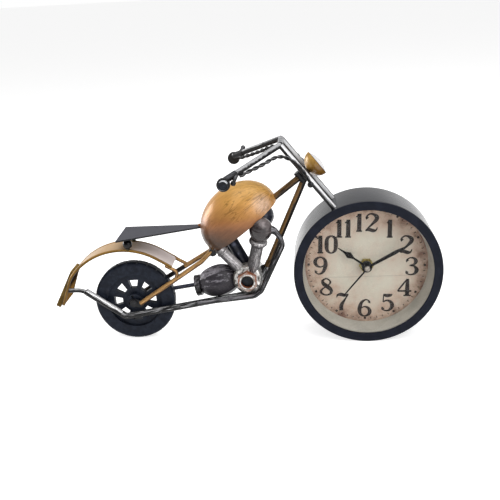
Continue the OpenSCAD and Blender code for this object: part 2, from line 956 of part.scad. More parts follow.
module gearbox() {
    color("#55534f") difference() {
        gearbox_egg();
        crank_round();
        flange_disc();
        rail_straight();
        for (s = [true, false]) left_or_right(s) rod(rear_base, rear_top, rear_barrel_d + 2 * barrel_gap);
    }
}
module gearbox_flange() {
    color("#4b4a4c") flange_disc();
}
module drive_shaft() {
    color("#1e1e21") difference() {
        rod(shaft_start, shaft_end, shaft_d);
        flange_disc();
        gearbox_egg();
        tab(true);
        stay_bar_left();
    }
}
module exhaust_pipe() {
    color("#4c4c4e") difference() {
        union() {
            bent_rod(exhaust_route, exhaust_d);
            translate(exhaust_route[exhaust_last]) sphere(d = exhaust_d - fit_gap);
        }
        ball(false, -exhaust_lap);
    }
}

// Rear wheel
module tyre() {
    half = wheel_w / 2;
    color("#26272d") on_wheel() difference() {
        rotate_extrude($fn = 96) union() {
            translate([disc_d / 2, -half]) square([wheel_r - tread_round - disc_d / 2, wheel_w]);
            translate([disc_d / 2, tread_round - half])
                square([wheel_r - disc_d / 2, wheel_w - 2 * tread_round]);
            for (s = [-1, 1]) translate([wheel_r - tread_round, s * (half - tread_round)])
                circle(r = tread_round);
        }
        for (i = [0 : notches - 1]) rotate(360 * (i + 0.5) / notches) translate([wheel_r, 0, 0])
            cube([2 * notch_depth, notch_w, far], center = true);
    }
}
module wheel_disc() {
    color("#2b2c33") on_wheel() difference() {
        union() {
            cylinder(h = web_t, d = disc_d, center = true, $fn = 96);
            cylinder(h = hub_w, d = wheel_hub_d, center = true);
        }
        cylinder(h = far, d = axle_d + 2 * run_gap, center = true);
        for (i = [0 : windows - 1]) rotate(360 * (i + window_turn) / windows)
            linear_extrude(height = far, center = true)
                polygon([
                    [window_in, -window_foot / 2], [window_out, -window_top / 2],
                    [window_out, window_top / 2], [window_in, window_foot / 2]
                ]);
        for (i = [0 : hub_holes - 1]) rotate(360 / hub_holes * i + hub_hole_turn)
            translate([hub_hole_r, 0, 0]) cylinder(h = far, d = hub_hole_d, center = true);
    }
}

// Clock
module clock_drum() {
    color("#24262d") on_clock() rotate_extrude($fn = 120) difference() {
        union() {
            translate([0, back_z]) square([clock_r, drum_depth - edge_round]);
            translate([0, back_z]) square([clock_r - edge_round, drum_depth]);
            translate([clock_r - edge_round, front_z - edge_round]) circle(r = edge_round, $fn = 32);
        }
        translate([0, back_z - 1]) square([drum_r_in, drum_depth - drum_wall + 1]);
        square([rim_r_in, drum_depth]);
    }
}
module glass() {
    color("#dfe8ea", 0.3) on_clock() translate([0, 0, glass_z])
        cylinder(h = glass_t, r = drum_r_in - fit_gap, $fn = 120);
}
module spacer_ring() {
    color("#d9d7cf") on_clock() rotate_extrude($fn = 120)
        polygon([
            [dial_d / 2, dial_z], [drum_r_in - fit_gap, dial_z],
            [drum_r_in - fit_gap, glass_z], [rim_r_in + 0.4, glass_z]
        ]);
}
module dial_plate() {
    color("#d8c6a4") on_clock() translate([0, 0, dial_z - dial_t]) difference() {
        cylinder(h = dial_t, r = drum_r_in - fit_gap, $fn = 120);
        translate([0, 0, -1]) cylinder(h = dial_t + 2, d = neck_d + 2 * fit_gap);
    }
}
module back_plate() {
    color("#24262d") on_clock() translate([0, 0, back_z]) difference() {
        cylinder(h = drum_wall, r = drum_r_in - fit_gap, $fn = 120);
        cube([window_w, window_w, 10], center = true);
    }
}
module movement() {
    back = dial_z - dial_t - movement_t;
    chamfer = 3;
    half = movement_w / 2;
    color("#1c1c1f") on_clock() difference() {
        union() {
            translate([0, 0, back]) linear_extrude(height = movement_t)
                polygon([
                    [-half + chamfer, -half], [half - chamfer, -half], [half, -half + chamfer],
                    [half, half - chamfer], [half - chamfer, half], [-half + chamfer, half],
                    [-half, half - chamfer], [-half, -half + chamfer]
                ]);
            translate([0, 0, back]) cylinder(h = dial_z + neck_top - back, d = neck_d);
        }
        translate([0, 0, dial_z - arbor_depth])
            cylinder(h = far, d = hour_tube_d + arbor_wall_gap);
        translate([-bay_len / 2, battery_y - bay_w / 2, back - 1])
            cube([bay_len, bay_w, movement_t + 1 - bay_floor]);
        translate([0, knob_y, back - 1]) cylinder(h = knob_stem_len + 1, d = knob_stem_d + 2 * run_gap);
    }
}
module movement_nut() {
    color("#b99b4e") on_clock() translate([0, 0, dial_z]) difference() {
        cylinder(h = nut_t, d = nut_af / cos(30), $fn = 6);
        translate([0, 0, -1]) cylinder(h = nut_t + 2, d = neck_d);
    }
}

// A hand's tube or pin, reaching down inside the movement's neck
module arbor(d, bore, top) {
    translate([0, 0, dial_z - arbor_depth + 0.5]) difference() {
        cylinder(h = top + arbor_depth - 0.5, d = d);
        if (bore > 0) translate([0, 0, -1]) cylinder(h = far, d = bore);
    }
}
module hour_hand() {
    bulge = 0.62 * hour_len;
    color("#1f1d1c") on_clock() rotate(-hour_turn) {
        arbor(hour_tube_d, minute_tube_d + arbor_wall_gap, hour_level);
        translate([0, 0, dial_z + hour_level - hand_t]) linear_extrude(height = hand_t) difference() {
            union() {
                circle(d = hub_d);
                polygon([[-0.9, 0], [-0.7, bulge - 4.4], [0.7, bulge - 4.4], [0.9, 0]]);
                polygon([
                    [-0.7, bulge - 4.6], [-2.6, bulge], [-0.9, bulge + 3.6], [-0.3, hour_len],
                    [0.3, hour_len], [0.9, bulge + 3.6], [2.6, bulge], [0.7, bulge - 4.6]
                ]);
            }
            circle(d = minute_tube_d + arbor_wall_gap);
        }
    }
}
module minute_hand() {
    color("#1f1d1c") on_clock() rotate(-minute_turn) {
        arbor(minute_tube_d, second_pin_d + arbor_wall_gap, minute_level);
        translate([0, 0, dial_z + minute_level - hand_t]) linear_extrude(height = hand_t) difference() {
            union() {
                circle(d = hub_d);
                polygon([
                    [-1, 0], [-1.3, 0.5 * minute_len], [-1.5, 0.72 * minute_len], [-0.3, minute_len],
                    [0.3, minute_len], [1.5, 0.72 * minute_len], [1.3, 0.5 * minute_len], [1, 0]
                ]);
            }
            circle(d = second_pin_d + arbor_wall_gap);
        }
    }
}
module second_hand() {
    color("#2a2622") on_clock() rotate(-second_turn) {
        arbor(second_pin_d, 0, second_level);
        translate([0, 0, dial_z + second_level - hand_t]) {
            cylinder(h = cap_t, d = cap_d);
            linear_extrude(height = hand_t)
                polygon([[-0.5, -2], [-0.2, second_len], [0.2, second_len], [0.5, -2]]);
        }
    }
}
module setting_knob() {
    back = dial_z - dial_t - movement_t;
    color("#e8e6e0") on_clock() translate([0, knob_y, back]) {
        translate([0, 0, -knob_t]) cylinder(h = knob_t - knob_gap, d = knob_d);
        translate([0, 0, -knob_t]) cylinder(h = knob_t + knob_stem_len - knob_gap, d = knob_stem_d);
    }
}
module battery() {
    back = dial_z - dial_t - movement_t;
    level = back + movement_t - bay_floor - battery_d / 2;
    color("#8c8c90") on_clock() translate([-battery_len / 2, battery_y, level])
        rotate([0, 90, 0]) {
            cylinder(h = battery_len - battery_cap, d = battery_d);
            cylinder(h = battery_len, d = battery_cap_d);
        }
}

neck_block();
fork_yoke();
backbone_tube();
down_tube();
lower_rail();
tail_pipe();
tail_stay();
engine_bracket();
stay_spreader();
seat_stay_right();
seat_stay_left();
axle_tabs();
rear_axle();
fender();
fender_stays();
tail_plate();
fuel_tank();
seat_plate();
seat_balls();
fork_leg_right();
fork_leg_left();
fork_crossbar();
handlebar_right();
handlebar_left();
grip_right();
grip_left();
lever_right();
lever_left();
cable_right();
cable_left();
cable_clips();
headlight_bowl();
headlight_lens();
crankcase();
crank_nuts();
front_barrel_right();
front_barrel_left();
front_head_right();
front_head_left();
rear_barrel_right();
rear_barrel_left();
intake_tube();
gearbox();
gearbox_flange();
drive_shaft();
exhaust_pipe();
tyre();
wheel_disc();
clock_drum();
glass();
spacer_ring();
dial_plate();
back_plate();
movement();
movement_nut();
hour_hand();
minute_hand();
second_hand();
setting_knob();
battery();
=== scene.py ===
import bmesh
import bpy
import numpy as np
from functools import partial
from mathutils import Matrix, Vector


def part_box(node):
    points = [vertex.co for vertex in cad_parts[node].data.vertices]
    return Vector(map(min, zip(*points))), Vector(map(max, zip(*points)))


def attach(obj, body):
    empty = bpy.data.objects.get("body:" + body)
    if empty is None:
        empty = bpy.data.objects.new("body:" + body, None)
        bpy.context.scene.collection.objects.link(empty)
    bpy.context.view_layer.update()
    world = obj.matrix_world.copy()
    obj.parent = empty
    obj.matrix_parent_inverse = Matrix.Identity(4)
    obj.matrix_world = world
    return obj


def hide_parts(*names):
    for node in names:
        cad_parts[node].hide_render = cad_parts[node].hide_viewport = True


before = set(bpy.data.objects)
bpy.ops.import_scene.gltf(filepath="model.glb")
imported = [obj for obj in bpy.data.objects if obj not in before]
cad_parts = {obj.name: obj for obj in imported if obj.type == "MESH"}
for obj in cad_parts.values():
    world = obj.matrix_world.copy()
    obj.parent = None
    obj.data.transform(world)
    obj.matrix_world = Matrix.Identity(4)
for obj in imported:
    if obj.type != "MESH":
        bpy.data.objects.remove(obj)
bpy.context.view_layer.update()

# Camera
# The photograph's viewpoint: a long lens from the right side, a little above and turned slightly to the
# front. Measured from the round edges of the clock and the wheel, so the lens shift stays at nought.
MM = 0.001


def mm(*sizes):
    """A vector in metres from its sizes in mm."""
    return np.array(sizes) * MM


picture_px = 500
focal_px = 800.19
sensor_mm = 36
tilt, pan, roll = 0.3174, -0.0798, 0.056
clock_low, clock_high = (np.array(corner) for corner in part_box("clock_drum"))
clock_c = (clock_low + clock_high) / 2
eye = clock_c * [1, 0, 0] + mm(-43.3, -601.3, 269.8)
look = np.array([np.sin(pan) * np.cos(tilt), np.cos(pan) * np.cos(tilt), -np.sin(tilt)])
level = np.array([np.cos(pan), -np.sin(pan), 0])
plumb = np.cross(look, level)
right = np.cos(roll) * level + np.sin(roll) * plumb
down = np.cos(roll) * plumb - np.sin(roll) * level
scene = bpy.context.scene
camera = bpy.data.objects.new("camera", bpy.data.cameras.new("camera"))
scene.collection.objects.link(camera)
scene.camera = camera
camera.data.sensor_width = sensor_mm
camera.data.lens = focal_px * sensor_mm / picture_px
pose = np.eye(4)
pose[:3] = np.stack([right, -down, -look, eye], axis=1)
camera.matrix_world = Matrix(pose.tolist())
scene.view_settings.view_transform = "Standard"


# Studio
# White surroundings and three soft lamps, a large one overhead and smaller ones from the left and the
# right, over a pale floor that takes the soft shadow.
def colour(code):
    """Linear red, green, blue and one, from an sRGB hex colour."""
    s = np.array([int(code[i:i + 2], 16) for i in (1, 3, 5)]) / 255
    linear = np.where(s <= 0.04045, s / 12.92, ((s + 0.055) / 1.055) ** 2.4)
    return (*linear.tolist(), 1.0)


def add(tree, node, sockets={}, stops=(), **settings):
    """Adds a node, named by its kind and its operation, or takes one that is there, and sets its options, a
    ramp's colour stops and its sockets; a socket takes a value, a hex colour, an output, or a whole node
    for its first output in use."""
    if isinstance(node, str):
        kind, *operation = node.split()
        node = tree.nodes.new("ShaderNode" + kind)
        settings.update(zip(["operation"], operation))
    for name, value in settings.items():
        setattr(node, name, value)
    if stops:
        marks = node.color_ramp.elements
        for mark, (place, code) in zip(marks, (stops[0], stops[-1])):
            mark.position, mark.color = place, colour(code)
        for place, code in stops[1:-1]:
            marks.new(place).color = colour(code)
    for name, value in sockets.items():
        if isinstance(value, bpy.types.Node):
            value = next(socket for socket in value.outputs if socket.enabled)
        if isinstance(value, bpy.types.NodeSocket):
            tree.links.new(value, node.inputs[name])
        else:
            node.inputs[name].default_value = colour(value) if isinstance(value, str) else value
    return node


def span(low, high, start=0.0, end=1.0):
    """Sockets that carry the range from low to high over to the range from start to end."""
    return {"From Min": low, "From Max": high, "To Min": start, "To Max": end}


eased = dict(interpolation_type="SMOOTHSTEP")


def blank(name, flow=False):
    """A new material, the function that adds to its nodes, its shader, and its coordinates: the place in
    space or, for a flow, the way along and across the piece."""
    material = bpy.data.materials.new(name)
    material.use_nodes = True
    tree = material.node_tree
    if flow:
        where = add(tree, "Attribute", attribute_name="flow").outputs["Vector"]
    else:
        where = add(tree, "TexCoord").outputs["Object"]
    return material, partial(add, tree), tree.nodes["Principled BSDF"], where


def unit(v):
    """The same direction, or rows of them, one long."""
    return np.asarray(v) / np.linalg.norm(v, axis=-1, keepdims=True)


def lamp(name, watts, size, place, target):
    """A square area lamp at a place, turned to face a target."""
    light = bpy.data.objects.new(name, bpy.data.lights.new(name, "AREA"))
    light.data.energy = watts
    light.data.size = size
    away = unit(np.array(place) - np.array(target))
    side = unit(np.cross([0.0, 1.0, 0.1], away))
    turn = np.eye(4)
    turn[:3] = np.stack([side, np.cross(away, side), away, np.array(place)], axis=1)
    light.matrix_world = Matrix(turn.tolist())
    scene.collection.objects.link(light)


world = bpy.data.worlds.new("studio")
scene.world = world
world.use_nodes = True
put = partial(add, world.node_tree)
rays = put("LightPath")
seen = put("Math MAXIMUM", {0: rays.outputs["Is Camera Ray"], 1: rays.outputs["Is Transmission Ray"]})
_, ahead, overhead = put("SeparateXYZ", {"Vector": put("TexCoord").outputs["Generated"]}).outputs
wall = put("MapRange", {"Value": ahead, **span(-0.75, 0.35, 0.35, 1.0)}, **eased)
rise = put("MapRange", {"Value": overhead, **span(0.05, 0.4, 1.0, 0.42)}, **eased)
room = put("Math MULTIPLY", {0: wall, 1: rise})
strength = put("Mix", {"Factor": seen, "A": room, "B": 1.0}, data_type="FLOAT")
put(world.node_tree.nodes["Background"], {"Color": (1, 1, 1, 1), "Strength": strength})
lamp("top_lamp", 12.0, 1.5, (0.1, -0.3, 1.2), (0, 0, 0.06))
lamp("left_lamp", 5.5, 0.5, (-0.95, 0.45, 0.26), (-0.02, 0, 0.1))
lamp("right_lamp", 6.0, 0.9, (0.7, -0.9, 0.6), (0, 0, 0.08))
bpy.ops.mesh.primitive_plane_add(size=60)
floor = bpy.context.object
floor.name = "floor"
paper_grains = 900.0
floor_mat, put, paper, where = blank("white_sweep")
grain = put("TexNoise", {"Vector": where, "Scale": paper_grains})
tone = put("Mix", {"Factor": grain, "A": "#f2f2f2", "B": "#f6f6f6"}, data_type="RGBA")
put(paper, {"Base Color": tone, "Roughness": 0.9, "Specular IOR Level": 0.0})
rays = put("LightPath")
shown = put("Math MAXIMUM", {0: rays.outputs["Is Camera Ray"], 1: rays.outputs["Is Glossy Ray"]})
floor_lift = 0.62
lift = put("Math MULTIPLY", {0: shown, 1: floor_lift})
glow = put("Emission", {"Color": (1, 1, 1, 1), "Strength": lift})
put(floor_mat.node_tree.nodes["Material Output"], {"Surface": put("AddShader", {0: paper, 1: glow})})
floor.data.materials.append(floor_mat)


# Frame tubes
# Backbone from the neck to the lug and the down tube to the engine: steel rod, dark brown lacquer with a
# rubbing of gold over it, welded at both ends; the gold gathers on the faces turned up, left and to the
# front, where it is also a painted highlight.
def at(back, y, z):
    """A point from its distance behind the clock's middle, its side and its height in mm."""
    return clock_c * [1, 0, 0] + mm(-back, y, z)


def out(turn):
    """The direction in the middle plane at this angle up from straight ahead."""
    return np.stack([np.cos(turn), np.zeros_like(turn), np.sin(turn)], axis=-1)


def along(line):
    """The length along a line at each of its points."""
    return np.concatenate([[0], np.cumsum(np.linalg.norm(np.diff(line, axis=0), axis=1))])


def spaced(line, step):
    """The same line with its points an even step in mm apart along its length."""
    run = along(line)
    marks = np.linspace(0, run[-1], max(int(run[-1] / (step * MM)), 2) + 1)
    return np.stack([np.interp(marks, run, line[:, k]) for k in range(3)], axis=1)


def bent(points, radius, step=1.2):
    """Centre line of a bent bar: straights between the corners, joined by arcs of one radius in mm."""
    line = [points[0]]
    for before, corner, after in zip(points, points[1:], points[2:]):
        u, v = unit(corner - before), unit(after - corner)
        turn = np.arccos(np.clip(u @ v, -1, 1))
        reach = min(
            radius * MM * np.tan(turn / 2), 0.45 * np.linalg.norm(corner - before),
            0.45 * np.linalg.norm(after - corner))
        r = reach / np.tan(turn / 2)
        middle = corner + unit(v - u) * r / np.cos(turn / 2)
        angles = np.linspace(0, turn, 12)[:, None]
        line.extend(middle + np.cos(angles) * (corner - reach * u - middle) + np.sin(angles) * r * u)
    line.append(points[-1])
    return spaced(np.array(line), step)


def ring(d, sides=28):
    """A circle of points of diameter d mm."""
    a = np.linspace(0, 2 * np.pi, sides, endpoint=False)
    return np.c_[np.cos(a), np.sin(a)] * d / 2 * MM


def swept(path, section, ends=(0.3, 0.3)):
    """A section carried along a path, square to its tangent; each end is bevelled by so many mm and closed
    by drawing its last ring into its middle. Returns the points and, for each, its length along and its
    section."""
    tangent = unit(np.gradient(path, axis=0))
    sections = np.broadcast_to(section, (len(path), *np.shape(section)[-2:]))
    reach = np.abs(sections).max(axis=(1, 2))
    head, tail = np.array(ends) * MM
    path = np.concatenate([
        path[[0, 0]], path[:1] + tangent[:1] * head, path[1:-1], path[-1:] - tangent[-1:] * tail,
        path[[-1, -1]]])
    grow = np.ones(len(path))
    grow[[0, 1, -2, -1]] = [1e-6, 1 - head / reach[0], 1 - tail / reach[-1], 1e-6]
    pick = np.clip(np.arange(len(path)) - 2, 0, len(tangent) - 1)
    tangent, sections = tangent[pick], sections[pick] * grow[:, None, None]
    u = unit(np.cross(tangent, across))
    w = np.cross(u, tangent)
    points = path[:, None] + sections[..., :1] * w[:, None] + sections[..., 1:] * u[:, None]
    run = along(path)
    flow = np.concatenate([np.broadcast_to(run[:, None, None], (*sections.shape[:2], 1)), sections], axis=2)
    return points, flow


def rod(start, end, d, step=2, ends=(0.3, 0.3)):
    """A straight round bar of diameter d mm, with a ring of points every so many mm."""
    return swept(spaced(np.stack([start, end]), step), ring(d), ends)


def piece(name, material, slot, *parts, node=None, body="frame", sharp=35):
    """One new piece over several grids of points, each closed round its second way; rings drawn to a point
    merge. It gets its material, the body it rides on and the CAD node it stands for; its slot is not used."""
    verts, quads, flows, start = [], [], [], 0
    for points, flow in parts:
        rows, cols = points.shape[:2]
        here = start + np.arange(rows * cols).reshape(rows, cols)
        after = np.roll(here, -1, axis=1)
        quads.append(np.stack([here[:-1], after[:-1], after[1:], here[1:]], axis=-1).reshape(-1, 4))
        verts.append(points.reshape(-1, 3))
        flows.append(flow.reshape(-1, 3))
        start += rows * cols
    mesh = bpy.data.meshes.new(name)
    mesh.from_pydata(np.concatenate(verts).tolist(), [], np.concatenate(quads).tolist())
    mesh.attributes.new("flow", "FLOAT_VECTOR", "POINT").data.foreach_set(
        "vector", np.concatenate(flows).astype(np.float32).ravel())
    bm = bmesh.new()
    bm.from_mesh(mesh)
    bmesh.ops.remove_doubles(bm, verts=bm.verts, dist=2e-6)
    bmesh.ops.recalc_face_normals(bm, faces=bm.faces)
    bm.to_mesh(mesh)
    bm.free()
    mesh.shade_smooth()
    mesh.set_sharp_from_angle(angle=np.radians(sharp))
    obj = bpy.data.objects.new(name, mesh)
    scene.collection.objects.link(obj)
    obj.data.materials.append(material)
    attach(obj, body)
    if node:
        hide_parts(node)


def coat(material, *nodes):
    """Gives CAD nodes that stay as they are this material."""
    for name in nodes:
        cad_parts[name].data.materials.clear()
        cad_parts[name].data.materials.append(material)


def rubbed(name, base, over, side, cover, streak, flow=None, pull=0.3, metal=0.35, rough=(0.34, 0.42),
           soft=0.12, dents=0.25, mottle=0.14, gloss=0.25):
    """Lacquer with a second colour put on by rubbing, which also paints light: the second colour shows
    where a face looks towards side, by so much pull, as a painted highlight, and the faces turned away keep
    the base as painted shade, so that with no pull no light is painted. It is broken up by streaks of a
    given length and width in mm, which run along the piece where the two differ; cover is the share covered
    there. The grit of real lacquer is finer than a pixel, so it is drawn as coarse as it needs to show."""
    long, wide = streak
    material, put, shader, where = blank(name, long != wide if flow is None else flow)
    grit, dent_deep = 0.9 * MM, 0.15 * MM
    stretched = put("Mapping", {"Vector": where, "Scale": (1 / (long * MM), *[1 / (wide * MM)] * 2)})
    streaks = put("TexNoise", {"Vector": stretched, "Scale": 1.0, "Detail": 4.0, "Roughness": 0.62})
    # Faces turned towards side take the second colour, a painted highlight; the rest keep the base, painted
    # shade.
    facing = put(
        "VectorMath DOT_PRODUCT", {0: put("NewGeometry").outputs["Normal"], 1: unit(side).tolist()})
    height = put("Math MULTIPLY_ADD", {0: facing, 1: pull, 2: streaks})
    limit = 0.5 + 0.8 * pull + 0.3 * (0.5 - cover)
    amount = put("MapRange", {"Value": height, **span(limit - soft, limit + soft)}, **eased)
    fine = put("TexNoise", {"Vector": where, "Scale": 1 / grit, "Detail": 3.0})
    mixed = put("Mix", {"Factor": amount, "A": base, "B": over}, data_type="RGBA")
    shade = put("MapRange", {"Value": fine, **span(0.3, 0.7, 1 - mottle, 1 + mottle)})
    put(shader, {
        "Base Color": put("VectorMath MULTIPLY", {0: mixed, 1: shade}),
        "Roughness": put("MapRange", {"Value": amount, **span(0, 1, *rough)}),
        "Metallic": put("Math MULTIPLY", {0: amount, 1: metal}),
        "Normal": put("Bump", {"Height": fine, "Strength": dents, "Distance": dent_deep}),
        "Specular IOR Level": gloss})
    return material


tube_d, yoke_drop, neck_set = 5, 30.5, 5.5
rake = np.radians(52)
fork_dir = out(-rake)
fork_front = np.array([np.sin(rake), 0, np.cos(rake)])
across = np.array([0.0, 1.0, 0.0])
bend_c = at(63.6, 0, 157.4)
yoke_c = bend_c + yoke_drop * MM * fork_dir
neck_c = yoke_c - neck_set * MM * fork_front
lug = at(123, 0, 74)
foot = at(76, 0, 62.4)
neck_low = at(48.6, 0, 123.4)
# Gold on the faces turned up, left and to the front: rubbing and a painted highlight together.
bronze = rubbed("bronze_lacquer", "#1b1511", "#80613a", (-0.5, -0.6, 0.5), 0.62, (22, 2.4), pull=0.4)
piece("backbone", bronze, "bronze_tube", rod(neck_c, lug, tube_d), node="backbone_tube")
piece(
    "down_bar", bronze, "bronze_tube", rod(foot, neck_low + 5 * MM * unit(neck_low - foot), tube_d),
    node="down_tube")

# Neck and fork head
# A square steel block welded to the backbone and the round yoke between the legs, with the cable clips
# and the engine's bracket: black lacquer with a dull grey painted on its faces turned up and to the front,
# a painted highlight.
# Dull grey on the faces turned up and to the front: a painted highlight.
black = rubbed("black_lacquer", "#0b0b0e", "#3a3a3e", (0.3, -0.4, 0.8), 0.3, (3, 3))
coat(black, "neck_block", "fork_yoke", "cable_clips", "engine_bracket")

# Lower rail
# One bar bent round under the engine and back along the right side: black lacquer dry-brushed with silver
# on its outer face, the silver also a painted highlight on the faces turned to the front and up, bronze at
# its root; its tail is turned up and painted bright on top and black below, a painted reflection.
rail_d, rail_bend = 5.4, 7
wheel_c = at(186.8, 0, 32.7)
rail_back = wheel_c + mm(-7.2, -9.5, -11.2)
pipe_top = wheel_c + mm(-38.4, -9.5, 11.4)
pipe_start = rail_back + 4.5 * MM * unit(pipe_top - rail_back)
rail_line = bent([foot, at(85.6, -8.5, 43), at(89.5, -9.5, 38.8), rail_back, pipe_start], rail_bend)
# Silver streaks on the faces turned to the front and up: dry-brushing and a painted highlight together.
rail_black = rubbed(
    "rail_lacquer", "#0d0d0f", "#a8a8aa", (0, -0.75, 0.65), 0.2, (10, 0.7), pull=0.4, metal=0.6, soft=0.06)
piece("rail", rail_black, "dark_steel", swept(rail_line, ring(rail_d)), node="lower_rail")
piece("rail_root", bronze, "bronze_tube", swept(rail_line[:6], ring(rail_d + 0.2)))
# Bright on the faces turned up and to the front, black on the rest: a painted reflection.
pipe_silver = rubbed(
    "pipe_silver", "#0b0b0d", "#f0f0f2", (0.3, -0.5, 0.8), 0.46, (14, 0.8), pull=0.9, metal=0.6, soft=0.07)
piece(
    "tail_end", pipe_silver, "brushed_steel", rod(pipe_start, pipe_top, rail_d, 1.2, (0.0, 0.5)),
    node="tail_pipe")

# Seat stays and wheel carrier
# Two thin bars from the cross tube under the tank to the axle tabs, and two short struts that hold the
# fender's front: gold-brown lacquer, worn by rubbing and painted lighter on the faces turned up and to the
# front as a highlight, with a darker copy on the far bar's lower part as painted shade; the tabs, the cross
# tube and the axle are black.
stay_d, stay_bend = 3.8, 6
stay_top_y = 4.8
spreader_c = at(120.5, 0, 72.5)
stay_top = spreader_c + mm(-1, -stay_top_y, 0.9)
stay_knee = at(130.2, -6, 65)
stay_end_right = wheel_c + mm(5, -8.6, -0.9)
stay_end_left = wheel_c + mm(4, 8.6, 2.5)
# Lighter on the faces turned up and to the front: rubbing and a painted highlight together. The darker copy
# under it is painted shade for the far stay's lower part.
gold_bar = rubbed("gold_bar_lacquer", "#5c3f24", "#c0955f", (-0.1, -0.7, 0.65), 0.66, (10, 1.0), pull=0.35)
dark_bar = rubbed("dark_bar_lacquer", "#0e0e10", "#4c3a28", (-0.1, -0.7, 0.65), 0.3, (10, 1.2))
piece(
    "stay_right", gold_bar, "bronze_tube",
    swept(bent([stay_top, stay_knee, stay_end_right], stay_bend), ring(stay_d)), node="seat_stay_right")
stay_left_top = spreader_c + stay_top_y * MM * across
stay_left_mid = stay_left_top + 0.4 * (stay_end_left - stay_left_top)
piece(
    "stay_left", dark_bar, "bronze_tube", rod(stay_left_mid, stay_end_left, stay_d), node="seat_stay_left")
piece("stay_left_top", gold_bar, "bronze_tube", rod(stay_left_top, stay_left_mid, stay_d))
arch_c = wheel_c + mm(-5.5, 0, -7.4)
arch_r = 53.6 * MM
front_turn = np.radians(58)
front_out = out(front_turn)
front_dir = np.array([np.sin(front_turn), 0, -np.cos(front_turn)])
front_top = arch_c + arch_r * front_out
fender_t = 1.2
fender_w = 26
strut_d, strut_bend, strut_set, strut_in, knee_set, knee_in = 2.8, 4, 8, 2.6, 19, 9.4
under = (fender_t + strut_d / 2) * MM * front_out
strut_top = front_top + strut_set * MM * front_dir - under - (fender_w / 2 - strut_in) * MM * across
strut_knee = front_top + knee_set * MM * front_dir - under - knee_in * MM * across
strut_foot = stay_knee + 0.41 * (stay_end_right - stay_knee)
far_top = at(154.0, fender_w / 2 - 2.2, 63.6)
far_foot = stay_left_top + 0.36 * (stay_end_left - stay_left_top)
piece(
    "fender_struts", gold_bar, "bronze_tube",
    swept(bent([strut_top, strut_knee, strut_foot], strut_bend), ring(strut_d)),
    rod(far_top, far_foot, strut_d), node="fender_stays")
coat(black, "stay_spreader", "axle_tabs")
coat(rubbed("axle_steel", "#131316", "#3a3a3e", (0, -0.4, 0.9), 0.4, (2, 2)), "rear_axle")

# Fender
# A strip of sheet bent over the wheel with rolled edges, a plate behind its tail and an arm from the rail:
# pale gold lacquer that looks powdery, worn brown at its edges, painted paler still at the front to make up
# for the seat's shadow, painted light, and dark brown on its inner face, painted shade, less so near the
# tail; the rolled edges are painted dark below as shade, and the arm is bare steel with a painted
# highlight along its top.
tail_turn, end_turn = np.radians(140), np.radians(160)
tail_r, tail_len, front_len = 25 * MM, 19.7 * MM, 13.2 * MM


def strip(width, thick, rounding=0.35, steps=4):
    """Section of a flat strip with rounded edges, in mm."""
    a = np.linspace(0, np.pi / 2, steps)
    corner = np.c_[np.cos(a), np.sin(a)] * rounding
    inset = np.array([width / 2 - rounding, thick / 2 - rounding])
    turns = np.array([[[1, 0], [0, 1]], [[0, 1], [-1, 0]], [[-1, 0], [0, -1]], [[0, -1], [1, 0]]])
    signs = np.array([[1, 1], [-1, 1], [-1, -1], [1, -1]])
    return np.concatenate([corner @ t + inset * s for t, s in zip(turns, signs)]) * MM


tail_c = arch_c + (arch_r - tail_r) * out(tail_turn)
tail_dir = np.array([-np.sin(end_turn), 0, np.cos(end_turn)])
mid_r = arch_r - fender_t / 2 * MM
mid_tail_r = tail_r - fender_t / 2 * MM
fender_line = spaced(np.concatenate([
    (arch_c + mid_r * front_out + front_len * front_dir)[None],
    arch_c + mid_r * out(np.linspace(front_turn, tail_turn, 40)),
    tail_c + mid_tail_r * out(np.linspace(tail_turn, end_turn, 12)[1:]),
    (tail_c + mid_tail_r * out(end_turn) + tail_len * tail_dir)[None]]), 1.5)
fender_len = along(fender_line)[-1]
fender_mat, put, shader, where = blank("pale_gold_lacquer", flow=True)
run_x, side_y, deep_z = put("SeparateXYZ", {"Vector": where}).outputs
drawn = put("Mapping", {"Vector": where, "Scale": (1 / (18 * MM), 1 / (1.5 * MM), 1 / (4 * MM))})
streaks = put("TexNoise", {"Vector": drawn, "Scale": 1.0, "Detail": 5.0, "Roughness": 0.6})
reach = put("Math MULTIPLY_ADD", {0: streaks, 1: 0.12, 2: -0.06})
share = put("Math MULTIPLY_ADD", {0: run_x, 1: 1 / fender_len, 2: reach})
# Paler towards the front, painted light where the seat's shadow falls; darker towards the tail.
top = put("ValToRGB", {"Fac": share}, stops=[
    (0.0, "#e8dcd9"), (0.24, "#e0d0c8"), (0.34, "#c4a888"), (0.5, "#c4a888"), (0.66, "#dcc8b2"),
    (0.8, "#b08d5c"), (0.95, "#6d5230")])
edge_tone = put("Mix", {"Factor": streaks, "A": "#4a3416", "B": "#9c7838"}, data_type="RGBA")
flank = put("Math ABSOLUTE", {0: side_y})
on_edge = put("MapRange", {"Value": flank, **span((fender_w / 2 - 0.9) * MM, (fender_w / 2 - 0.3) * MM)})
outside = put("Mix", {"Factor": on_edge, "A": top, "B": edge_tone}, data_type="RGBA")
